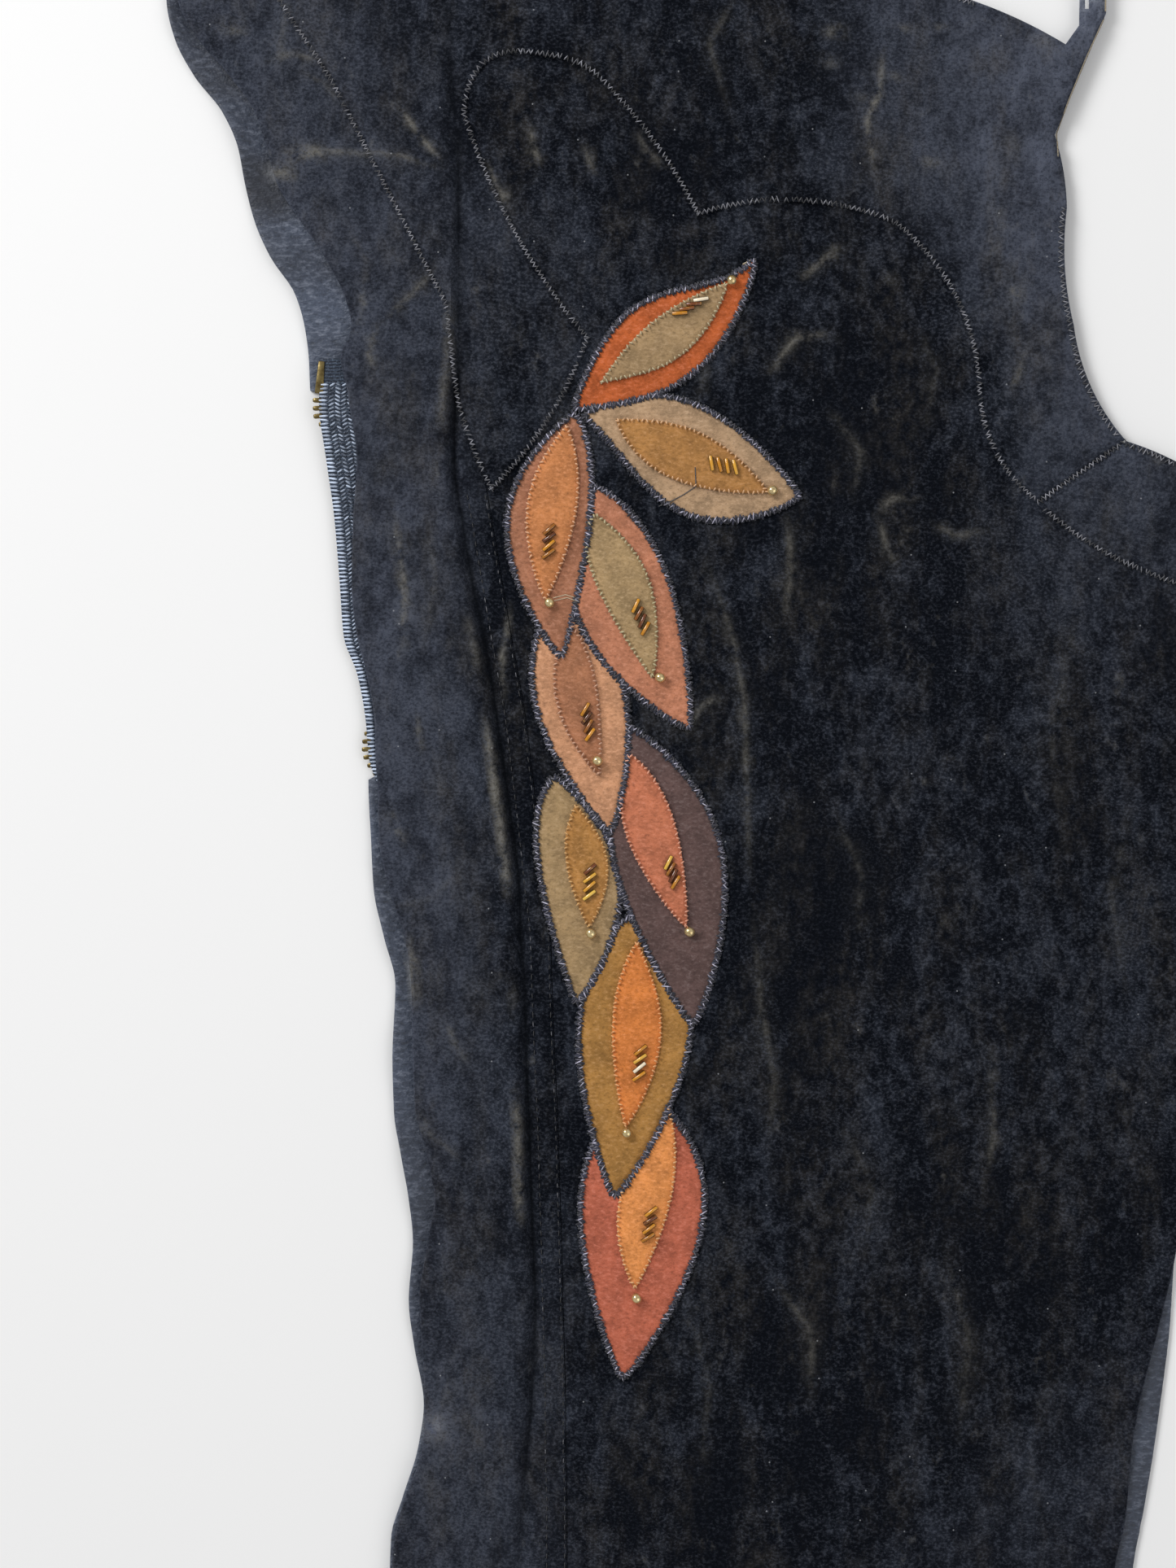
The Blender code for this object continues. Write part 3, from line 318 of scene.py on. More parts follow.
# Colours of each leaf, its inlay and the inlay's thread
LEAF_FINISHES = {
    1: ("#b65b2d", "#9a7f5c", "#bdb18e"),
    2: ("#a98b6c", "#a67642", "#d8ab80"),
    3: ("#a06b50", "#c07c4b", "#e0ae88"),
    4: ("#b37558", "#a0855f", "#bcb28c"),
    5: ("#c38e6a", "#a36d4e", "#c79b80"),
    6: ("#594542", "#bb6f50", "#dfa084"),
    7: ("#9c815c", "#a97840", "#d2a468"),
    8: ("#a2753c", "#cb783a", "#e2a56c"),
    9: ("#b36048", "#d98b4c", "#dfae7c"),
}

# Beads on each inlay: round bead x and y, first and last bugle's x and y, and
# their turn in degrees
BEADS = {
    1: (-187.8, 315.0, -207.0, 302.7, -199.2, 307.8, 6.0),
    2: (-172.8, 237.6, -195.3, 247.5, -186.6, 246.0, -78.0),
    3: (-255.0, 196.2, -255.3, 214.2, -255.0, 223.2, 38.0),
    4: (-214.2, 168.6, -219.6, 186.6, -223.2, 195.0, 62.0),
    5: (-237.3, 138.0, -240.0, 147.6, -241.8, 156.9, 56.0),
    6: (-203.4, 75.0, -208.5, 93.3, -211.2, 100.5, 60.0),
    7: (-239.7, 74.4, -240.3, 88.5, -240.0, 98.1, 38.0),
    8: (-226.5, 0.9, -222.0, 21.9, -221.4, 31.5, 36.0),
    9: (-222.9, -60.0, -218.7, -37.5, -217.5, -27.9, 34.0),
}

# Tones of each inlay's bugles, from the first to the last; a tone near 1 is a painted near-white
# glint
BUGLE_TONES = {
    1: (0.50, 0.32, 0.24, 0.98),
    2: (0.62, 0.50, 0.58, 0.66),
    3: (0.40, 0.55, 0.16, 0.36),
    4: (0.50, 0.22, 0.34, 0.58),
    5: (0.55, 0.35, 0.14, 0.48),
    6: (0.48, 0.20, 0.36, 0.74),
    7: (0.80, 0.60, 0.68, 0.24),
    8: (0.55, 0.98, 0.70, 0.50),
    9: (0.42, 0.52, 0.22, 0.56),
}

# Loose thread ends and raw edges: points, thickness and tone
LOOSE_DARK = (
    (((-214.5, 232.0), (-210.0, 233.7), (-205.5, 236.1), (-201.0, 239.1), (-201.3, 246.0)), 0.45,
     0.12),
)
LOOSE_PALE = (
    (((-253.5, 198.0), (-249.0, 199.2), (-244.2, 197.7)), 0.34, 0.95),
    (((-253.2, 197.0), (-248.4, 198.1), (-244.0, 196.5)), 0.34, 0.85),
    (((-50.3, 412.0), (-56.7, 398.0), (-63.7, 381.0), (-67.8, 369.5), (-67.4, 361.0)), 0.6, 0.3),
    (((-49.9, 435.5), (-49.8, 425.0), (-49.9, 414.5)), 0.7, 0.45),
    (((-183.5, 321.2), (-180.8, 322.6)), 0.8, 0.6),
)

# Where the camera looks and how much of the leather's length it frames, in metres
VIEW_CENTRE = (-0.24075, 0.12945)
VIEW_LENGTH = 0.5781
LEATHER_TOP = 0.006


def colour(code):
    """A display colour such as #1b1f28 as scene light."""
    parts = [int(code[i:i + 2], 16) / 255.0 for i in (1, 3, 5)]
    return tuple(c / 12.92 if c <= 0.04045 else ((c + 0.055) / 1.055) ** 2.4 for c in parts)


def hue(code, title, about):
    """A colour setting."""
    return bpy.props.FloatVectorProperty(name=title, description=about, default=colour(code),
                                         size=3, min=0.0, max=1.0, subtype="COLOR")


def size(metres, title, about):
    """A length setting."""
    return bpy.props.FloatProperty(name=title, description=about, default=metres, min=0.0,
                                   precision=5, unit="LENGTH")


class ChapsSizes(bpy.types.PropertyGroup):
    """Sizes of the leather and the sewing"""

    leather: size(0.0016, "Leather", "Thickness of the back, front and flap")
    overlay: size(0.0014, "Overlay", "Thickness of the yoke and the crotch piece")
    applique: size(0.0010, "Applique", "Thickness of the leaves")
    relief: bpy.props.FloatProperty(name="Relief", description="Strength of the creases",
                                    default=1.0, min=0.0, max=2.0)
    weave: size(0.003, "Mesh Step", "Spacing of the panels' mesh lines")
    border_pitch: size(0.0021, "Border Pitch", "Length of one zigzag round a leaf")
    yoke_pitch: size(0.0018, "Yoke Pitch", "Length of one zigzag along the yoke")
    stitch_pitch: size(0.0035, "Stitch Pitch", "Length of one straight stitch")
    tooth_pitch: size(0.0029, "Tooth Pitch", "Spacing of the zip's teeth")
    rib_pitch: size(0.00145, "Rib Pitch", "Spacing of the zip tape's ribs")


class ChapsColours(bpy.types.PropertyGroup):
    """Colours of the finishes"""

    deep: hue("#04060c", "Deep Suede", "Nap brushed down")
    suede: hue("#282c35", "Suede", "Nap in between")
    # Pale Suede also colours the painted glare and the painted highlight on cut edges.
    pale: hue("#535866", "Pale Suede", "Nap brushed up")
    dust_and_highlight: hue("#706d66", "Dust", "Chalky wear on the crests")
    # Dust also colours the painted highlight along the ridge's crest.
    grain: hue("#485163", "Smooth Side", "Smooth side of the leather")
    # The seam and border threads run from dimmed copies of these colours, painted shade, to these
    # colours; Border Shade is painted shade between the border's loops.
    thread: hue("#93949d", "Seam Thread", "Grey thread of the yoke and the seams")
    border: hue("#cbc8dc", "Border Thread", "Lilac-grey thread round the leaves")
    border_dark: hue("#30334a", "Border Shade", "Dark thread under the border")
    tape: hue("#303b4c", "Zip Tape", "Knitted zip tape")
    brass: hue("#8f7f55", "Brass", "Teeth, pin and slider")
    gold: hue("#ecd6a2", "Gold Beads", "Round beads")
    floor: hue("#f2f2f2", "Floor", "Surface that the chaps lie on")


class ChapsStage(bpy.types.PropertyGroup):
    """Light and camera"""

    key: bpy.props.FloatProperty(name="Key Light", description="Power of the large soft light",
                                 default=46.0, min=0.0, unit="POWER")
    fill: bpy.props.FloatProperty(name="Fill Light", description="Power of the second light",
                                  default=16.0, min=0.0, unit="POWER")
    sky: bpy.props.FloatProperty(name="Surround", description="Strength of the even light",
                                 default=0.45, min=0.0)
    camera_height: size(1.3, "Camera Height", "Height of the camera above the leather")


# Curves down the leg

YS = np.arange(-512.0, 512.5, 0.5)


def curve(rows, place):
    """One column of a table against its first, as a smooth line that never overshoots."""
    pairs = sorted((row[0], row[place]) for row in rows)
    ys, vs = (np.array(column, float) for column in zip(*pairs))
    h = np.diff(ys)
    slope = np.diff(vs) / h
    turn = np.zeros(len(vs))
    turn[0], turn[-1] = slope[0], slope[-1]
    both = slope[:-1] * slope[1:]
    total = np.where(both > 0, slope[:-1] + slope[1:], 1.0)
    turn[1:-1] = np.where(both > 0, 2 * both / total, 0.0)
    i = np.clip(np.searchsorted(ys, YS, side="right") - 1, 0, len(ys) - 2)
    t = np.clip((YS - ys[i]) / h[i], 0.0, 1.0)
    return (vs[i] * (1 + 2 * t) * (1 - t) ** 2 + vs[i + 1] * t * t * (3 - 2 * t)
            + h[i] * turn[i] * t * (1 - t) ** 2 - h[i] * turn[i + 1] * t * t * (1 - t))


def at(line, y):
    """A curve's value at the heights y."""
    return np.interp(y, YS, line)


BACK_OUTER = curve(SECTIONS, 1)
FRONT_OUTER = curve(SECTIONS, 2)
FOLD = curve(SECTIONS, 3)
SEAM = curve(SECTIONS, 4)
TAPE_TABLE = curve(TAPE_EDGE, 1)
TAPE_OUTER = np.where(YS >= TAPE_EDGE[-1][0], TAPE_TABLE, FRONT_OUTER + 1.5)
FRONT_INSEAM = curve(INSEAM, 1)
BACK_INSEAM = curve(INSEAM, 2)
RIDGE = curve(ROLL, 1)
EDGE_LIFT = curve(ROLL, 2)
GRAIN_SHEEN = curve(GRAIN_TONES, 1)


def ease(t):
    """0 to 1 with soft ends."""
    t = np.clip(t, 0.0, 1.0)
    return t * t * (3 - 2 * t)


def bump(t):
    """1 at 0, falling softly to 0 at 1 on either side."""
    t = np.clip(np.abs(t), 0.0, 1.0)
    return (1 - t * t) ** 2


def away(x, y, line):
    """Distance from points to a line of points, and how far along the line the nearest is."""
    best = np.full(np.shape(x), 1e9)
    run = np.zeros(np.shape(x))
    gone = 0.0
    for (x0, y0), (x1, y1) in zip(line, line[1:]):
        dx, dy = x1 - x0, y1 - y0
        length = math.hypot(dx, dy)
        if length < 1e-9:
            continue
        t = np.clip(((x - x0) * dx + (y - y0) * dy) / length ** 2, 0.0, 1.0)
        off = np.hypot(x - x0 - t * dx, y - y0 - t * dy)
        nearer = off < best
        best = np.where(nearer, off, best)
        run = np.where(nearer, gone + t * length, run)
        gone += length
    return best, run / max(gone, 1e-9)


def inside(x, y, outline):
    """Which points lie within a closed outline."""
    odd = np.zeros(np.shape(x), bool)
    for (x0, y0), (x1, y1) in zip(outline, outline[1:] + outline[:1]):
        if y0 == y1:
            continue
        crosses = (y0 > y) != (y1 > y)
        odd ^= crosses & (x < x0 + (x1 - x0) * (y - y0) / (y1 - y0))
    return odd


def crease_sum(x, y, side):
    """Height of the creases, and dust on their crests and blots, with a painted highlight along the
    ridge's crest.
    """
    height = np.zeros(np.shape(x))
    dust_and_highlight = np.zeros(np.shape(x))
    for line, rise, width, dusty, other in CREASES:
        xs = [p[0] for p in line]
        ys = [p[1] for p in line]
        reach = 3 * width
        near = np.nonzero((x > min(xs) - reach) & (x < max(xs) + reach)
                          & (y > min(ys) - reach) & (y < max(ys) + reach))[0]
        if len(near) == 0:
            continue
        off, run = away(x[near], y[near], line)
        ends = 0.2 + 0.8 * ease(run / 0.3) * ease((1 - run) / 0.3)
        share = 1.0 if side == "r" else other
        height[near] += share * rise * ends * (0.65 * np.exp(-(off / width) ** 2)
                                               + 0.45 * np.exp(-(off / (0.32 * width)) ** 2))
        dust_and_highlight[near] += share * dusty * ends * (0.88 * np.exp(-(off / CREST) ** 2)
                                              + 0.18 * np.exp(-(off / (0.6 * width)) ** 2))
    for px, py, rx, ry, strength in BLOTS:
        dust_and_highlight += strength * np.exp(-((x - px) / rx) ** 2 - ((y - py) / ry) ** 2)
    # Painted highlight along the ridge's crest, carried with the dust.
    for start, stop, highlight_and_wear in RIDGE_HIGHLIGHT_AND_WEAR:
        fade = ease((start - y) / 14.0) * ease((y - stop) / 14.0)
        dust_and_highlight += 1.3 * highlight_and_wear * fade * np.exp(-((x - at(FOLD, y) + RIDGE_OUT) / 1.7) ** 2)
    return height, dust_and_highlight


def underside(x, y, side):
    """Height of the front's underside above the table, with its folds and creases."""
    x, y = np.asarray(x, float), np.asarray(y, float)
    base = UNDER_OUTER + (UNDER_INNER - UNDER_OUTER) * ease((x + 250.0) / 220.0)
    waist = ease((y - 418.0) / 30.0)
    base = base + (UNDER_WAIST - base) * waist
    fold = at(FOLD, y)
    off = x - (fold - RIDGE_OUT)
    wobble = 1.0 if side == "r" else 0.85
    ridge = at(RIDGE, y) * wobble * np.where(off < 0, bump(off / 8.0), bump(off / 3.9))
    groove_and_painted_shade = 1.2 * np.exp(-((x - fold - GROOVE_IN) / 1.4) ** 2)
    soft = np.zeros(np.shape(x))
    for x1, y1, x2, y2, height, width in SOFT_FOLDS:
        length = math.hypot(x2 - x1, y2 - y1)
        ux, uy = (x2 - x1) / length, (y2 - y1) / length
        run = (x - x1) * ux + (y - y1) * uy
        across = (x - x1) * uy - (y - y1) * ux
        fade = ease(run / (0.3 * length)) * ease((length - run) / (0.3 * length))
        soft += height * fade * np.exp(-(across / width) ** 2)
    soft *= ease((x - at(SEAM, y) - FLAP_LAP) / 20.0) * (1 - waist)
    slider_y = ZIP_TOP - 11.0
    slider_x = float(at(TAPE_OUTER, slider_y)) + TAPE_WIDTH + TAPES_APART + 4.5
    over_slider = 2.4 * (1 - ease((np.hypot(x - slider_x, y - slider_y + 6.0) - 18.0) / 30.0))
    crease = crease_sum(x, y, side)[0] * bpy.context.scene.chaps_sizes.relief
    floor = 1.85 + 1.25 * ease((-274.0 - x) / 8.0)
    return np.maximum(base + ridge - groove_and_painted_shade + soft + over_slider + crease, floor)


def back_lie(x, y, side):
    """Height of the back's underside, which lifts along its free outer edge."""
    x, y = np.asarray(x, float), np.asarray(y, float)
    outer = at(BACK_OUTER, y)
    inner = np.maximum(at(FRONT_OUTER, y) - 0.5, outer + 5.0)
    free = np.maximum(0.0, at(FRONT_OUTER, y) - outer)
    lift = np.minimum(at(EDGE_LIFT, y), 0.35 * free)
    return lift * ease((inner - x) / np.maximum(inner - outer - 1.0, 1.0))


# Outlines

def run_down(line, top, bottom, step=3.0):
    """Points down a curve from top to bottom."""
    count = max(2, round((top - bottom) / step))
    return [(float(at(line, y)), float(y)) for y in np.linspace(top, bottom, count + 1)]


def arc(start, end, bow, steps):
    """Points from start towards end on an arc that bows to the left by bow."""
    (x0, y0), (x1, y1) = start, end
    length = math.hypot(x1 - x0, y1 - y0)
    points = []
    for i in range(steps):
        t = i / steps
        out = 4 * bow * t * (1 - t)
        points.append((x0 + (x1 - x0) * t - (y1 - y0) / length * out,
                       y0 + (y1 - y0) * t + (x1 - x0) / length * out))
    return points


def corners(rows, last, step=3.0):
    """Points through corner rows up to the last point."""
    ends = [row[:2] for row in rows[1:]] + [last]
    points = []
    for (x, y, bow), end in zip(rows, ends):
        length = math.hypot(end[0] - x, end[1] - y)
        points += arc((x, y), end, bow, max(1, round(length / step)))
    return points


def waist_y(x):
    """Height of the waist edge between the side and the front dip."""
    (x0, y0), (x1, y1) = WAIST_SIDE, WAIST[0][:2]
    t = (x - x0) / (x1 - x0)
    return y0 + (y1 - y0) * t + 4 * WAIST_BOW * t * (1 - t)


def waist_run(x_from, x_to, drop, step=3.0):
    """Points along the waist edge, lowered by drop."""
    count = max(2, round(abs(x_to - x_from) / step))
    return [(float(x), waist_y(float(x)) - drop) for x in np.linspace(x_from, x_to, count + 1)]


def leaf_outline(row, steps=34):
    """A leaf between base and tip, each side a half wave with its own widest place."""
    bx, by, tx, ty, left, left_at, right, right_at, left_tip = row
    length = math.hypot(tx - bx, ty - by)
    dx, dy = (tx - bx) / length, (ty - by) / length

    def point(t, width, widest, tip):
        swell = math.sin(math.pi * t ** (math.log(0.5) / math.log(widest))) if 0 < t < 1 else 0.0
        out = width * swell ** (LEAF_BASE + (tip - LEAF_BASE) * t)
        return (bx + dx * length * t - dy * out, by + dy * length * t + dx * out)

    turns = [(1 - math.cos(math.pi * i / steps)) / 2 for i in range(steps + 1)]
    ahead = [point(t, -right, right_at, LEAF_TIP) for t in turns]
    home = [point(t, left, left_at, left_tip) for t in reversed(turns)]
    return ahead + home[1:-1]


def back_outline():
    points = run_down(BACK_OUTER, 505.0, 276.0)
    points += run_down(BACK_OUTER, 270.0, 136.5)
    points += run_down(BACK_OUTER, 131.0, -HALF_LENGTH)
    points += arc(points[-1], (-38.0, -HALF_LENGTH), 0.0, 40)[1:]
    points += run_down(BACK_INSEAM, 219.0, -HALF_LENGTH, 6.0)[::-1]
    points += corners(BACK_RISE[:-1], BACK_RISE[-1][:2], 8.0)
    return points + waist_run(-238.0, -385.0, 1.0, 8.0)


def seam_points(top, bottom, offset, step=3.0):
    return [(x + FLAP_LAP + (offset if y < SEAM_SHOWS else -0.1 * offset), y)
            for x, y in run_down(SEAM, top, bottom, step)]


def front_outline():
    points = seam_points(waist_y(SEAM_WAIST_X) - CUT_IN, -HALF_LENGTH, GAP / 2)
    points += arc(points[-1], (-40.0, -HALF_LENGTH), 0.0, 70)[1:]
    points += run_down(FRONT_INSEAM, 221.9, -HALF_LENGTH)[::-1]
    rise = [CROTCH_PIECE[1][:2]] + corners(CROTCH_EDGE, CROTCH_PIECE[1][:2], 6.0)[::-1]
    points += [(x - CUT_IN, y - CUT_IN) for x, y in rise if y < TAB_FOOT]
    points += [(x - CUT_IN, y - CUT_IN) for x, y, _ in reversed(WAIST)]
    return points + waist_run(-104.0, -278.0, CUT_IN, 6.0)


def flap_outline():
    points = run_down(FRONT_OUTER, 505.0, -HALF_LENGTH)
    points += arc(points[-1], (-250.8, -HALF_LENGTH), 0.0, 26)[1:]
    points += seam_points(waist_y(SEAM_WAIST_X) - CUT_IN, -HALF_LENGTH, -GAP / 2)[::-1]
    return points + waist_run(-291.0, -388.0, CUT_IN)


def yoke_outline():
    top = waist_run(YOKE_WAIST_X, WAIST[0][0], 0.0)
    return top[:-1] + corners(WAIST + TAB + CROTCH_EDGE + YOKE_SCALLOPS, top[0], 2.4)


def crotch_outline():
    return corners(CROTCH_PIECE[:-1], CROTCH_PIECE[-1][:2], 2.4) + [CROTCH_PIECE[-1][:2]]


def tape_outline(offset, width, step):
    left = run_down(TAPE_OUTER + offset, ZIP_TOP, ZIP_BOTTOM, step)
    return left + [(x + width, y) for x, y in reversed(left)]


OUTLINES = {("leaf", k): leaf_outline(row) for k, row in LEAVES.items()}
OUTLINES.update({("inlay", k): leaf_outline(row, 26) for k, row in INLAYS.items()})
OUTLINES["yoke"] = yoke_outline()
OUTLINES["crotch"] = crotch_outline()


def top_level(x, y):
    """How far the topmost piece at each point stands above the front's underside."""
    level = np.full(np.shape(x), WALL)
    rises = [((kind, k), top) for k in sorted(LEAVES, reverse=True)
             for kind, top in (("leaf", LEAF_TOP), ("inlay", INLAY_TOP))]
    for key, high in rises + [("yoke", YOKE_TOP), ("crotch", YOKE_TOP)]:
        outline = OUTLINES[key]
        xs, ys = [p[0] for p in outline], [p[1] for p in outline]
        near = np.nonzero((x > min(xs)) & (x < max(xs)) & (y > min(ys)) & (y < max(ys)))[0]
        within = near[inside(x[near], y[near], outline)]
        level[within] = high
    return level


# Building pieces

def split(bm, faces, axis, cuts):
    """Cut the faces at each place on an axis, halving the list so that few faces are visited."""
    if not cuts or not faces:
        return
    middle = len(cuts) // 2
    spot, normal = [0.0, 0.0, 0.0], [0.0, 0.0, 0.0]
    spot[axis], normal[axis] = cuts[middle], 1.0
    edges = {e for f in faces for e in f.edges}
    verts = {v for f in faces for v in f.verts}
    done = bmesh.ops.bisect_plane(bm, geom=list(verts) + list(edges) + list(faces), dist=1e-3,
                                  plane_co=spot, plane_no=normal)
    found = [g for g in done["geom"] if isinstance(g, bmesh.types.BMFace)]
    low = [f for f in found if f.calc_center_median()[axis] < cuts[middle]]
    high = [f for f in found if f.calc_center_median()[axis] >= cuts[middle]]
    split(bm, low, axis, cuts[:middle])
    split(bm, high, axis, cuts[middle + 1:])


def spaced(low, high, step):
    """Places between low and high at even steps."""
    return [float(v) for v in np.arange(math.floor(low / step) * step, high, step) if v > low]


def plan(outline, steps, follow=None, fine=(), rim=0.6, hole=None, creased=False):
    """A flat piece cut to its outline and meshed on even lines. The lines follow a curve down
    the leg where one is given, and fine holds (from, to, step) bands beside that curve. A creased
    piece has a finer mesh beside each crease."""
    def shift(y):
        return 0.0 if follow is None else float(at(follow, y))

    bm = bmesh.new()
    points = [(x - shift(y), y) for x, y in outline]
    if signed_area(points) < 0:
        points.reverse()
    face = bm.faces.new([bm.verts.new((x, y, 0.0)) for x, y in points])
    bm.normal_update()
    if rim:
        bmesh.ops.inset_region(bm, faces=[face], thickness=rim, use_boundary=True,
                               use_even_offset=True)
    xs, ys = [p[0] for p in points], [p[1] for p in points]
    across = spaced(min(xs), max(xs), steps[0])
    for start, stop, step in fine:
        across = [v for v in across if not start - step < v < stop + step]
        across += [float(v) for v in np.arange(start, stop + 1e-6, step)]
    if hole:
        across += list(hole[:2])
    split(bm, bm.faces[:], 0, sorted(set(across)))
    down = spaced(min(ys), max(ys), steps[1]) + (list(hole[2:]) if hole else [])
    split(bm, bm.faces[:], 1, sorted(set(down)))
    if hole:
        left, right, low, high = hole
        cut = [f for f in bm.faces if left < f.calc_center_median().x < right
               and low < f.calc_center_median().y < high]
        bmesh.ops.delete(bm, geom=cut, context="FACES")
    for v in bm.verts:
        v.co.x += shift(v.co.y)
    if creased:
        middles = np.array([((e.verts[0].co + e.verts[1].co) / 2)[:2] for e in bm.edges])
        near = np.zeros(len(middles), bool)
        for crease in CREASES:
            near |= away(middles[:, 0], middles[:, 1], crease[0])[0] < 2.4
        bm.edges.ensure_lookup_table()
        bmesh.ops.subdivide_edges(bm, edges=[bm.edges[i] for i in np.nonzero(near)[0]], cuts=2,
                                  use_grid_fill=True)
    bmesh.ops.triangulate(bm, faces=[f for f in bm.faces if len(f.verts) > 4])
    return bm


def places(bm):
    """Plan places of a mesh's vertices."""
    spots = np.array([v.co[:2] for v in bm.verts])
    return spots[:, 0], spots[:, 1]


def cloth(name, source, side, low, high, lie, finish, top_drop=None, rim_drop=0.45,
          tones=None):
    """A closed wall on a lie, from low to high above it, with rounded upper edges. Its dusty places
    with the painted highlight on the ridge, its pale places with the painted glare, painted sheen
    and the painted highlight on cut edges, and the painted shade along the groove are kept as
    attributes."""
    bm = source.copy()
    x, y = places(bm)
    ground = lie(x, y, side)
    drop = np.zeros(len(x)) if top_drop is None else top_drop(x, y)
    dust_and_highlight = crease_sum(x, y, side)[1]
    pale = np.zeros(len(x)) if tones is None else at(tones, y)
    # Brushed nap and painted glare, strongest over the top right corner.
    for px, py, rx, ry, strength in PALE_NAP_AND_GLARE if tones is None else ():
        pale += strength * np.exp(-((x - px) / rx) ** 2 - ((y - py) / ry) ** 2)
    seam = at(SEAM, y)
    # Painted shade: a darkening along the groove inside the fold, deepest where the ridge stands
    # high.
    groove_and_painted_shade = np.exp(-((x - at(FOLD, y) - GROOVE_IN) / 1.15) ** 2)
    groove_and_painted_shade *= ease((at(RIDGE, y) - 0.8) / 1.2)
    layers = [bm.verts.layers.float.new(n) for n in ("ground", "drop", "dust_and_highlight", "pale", "groove_and_painted_shade")]
    for i, v in enumerate(bm.verts):
        closed = y[i] > SEAM_SHOWS and abs(x[i] - seam[i] - FLAP_LAP) < 1.0
        edge = 0.0 if closed or not v.is_boundary else rim_drop
        if abs(x[i] - seam[i] - FLAP_LAP) < 1.0:
            edge = min(edge, 0.15)
        elif v.is_boundary:
            # Cut edges get a pale rim: a painted highlight where they catch the light.
            pale[i] += 0.18
        for layer, value in zip(layers, (ground[i], drop[i] + edge, dust_and_highlight[i], pale[i], groove_and_painted_shade[i])):
            v[layer] = value
    bmesh.ops.reverse_faces(bm, faces=bm.faces[:])
    raised = bmesh.ops.extrude_face_region(bm, geom=bm.faces[:])
    tops = {g for g in raised["geom"] if isinstance(g, bmesh.types.BMVert)}
    for v in bm.verts:
        v.co.z = v[layers[0]] + (high - v[layers[1]] if v in tops else low)
    return finished(name, bm, side, finish)


def linked(name, bm):
    """An object in the scene from a bmesh, which is freed."""
    mesh = bpy.data.meshes.new(name)
    bm.to_mesh(mesh)
    bm.free()
    made = bpy.data.objects.new(name, mesh)
    bpy.context.scene.collection.objects.link(made)
    return made


def to_metres(bm, side):
    """Turn a mesh drawn in millimetres for the right leg into one in metres for a side."""
    bmesh.ops.transform(bm, matrix=Matrix.Diagonal((SIDES[side] * MM, MM, MM, 1.0)),
                        verts=bm.verts[:])
    bmesh.ops.recalc_face_normals(bm, faces=bm.faces[:])


def finished(name, bm, side, finish):
    """Close a mesh drawn in millimetres into an object that rides on the garment."""
    to_metres(bm, side)
    made = linked(name, bm)
    made.data.shade_smooth()
    made.data.set_sharp_from_angle(angle=math.radians(55.0))
    made.data.materials.append(finish)
    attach(made, "root")
    return made


def signed_area(outline):
    """Area within an outline, above 0 where it runs anticlockwise."""
    return sum(a[0] * b[1] - b[0] * a[1] for a, b in zip(outline, outline[1:] + outline[:1])) / 2


def declare(width, length, area):
    """Clamp a sheet's flat area to its box; the result is not used."""
    area = min(max(area, LEAST_FILL * width * length), width * length)


def dress(names, slot, side, outline, flat, heights, lie, finish, rests_on=None, **how):
    """A sheet in place of a CAD node, named without its side. rests_on, what it rests on, is not
    used.
    """
    piece = cloth(f"{names[0]}_{side}", flat, side, *heights, lie, finish, **how)
    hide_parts(f"{names[1]}_{side}")
    xs, ys = [p[0] for p in outline], [p[1] for p in outline]
    declare((max(xs) - min(xs)) * MM, (max(ys) - min(ys)) * MM,
            abs(signed_area(outline)) * MM * MM)


# Finishes

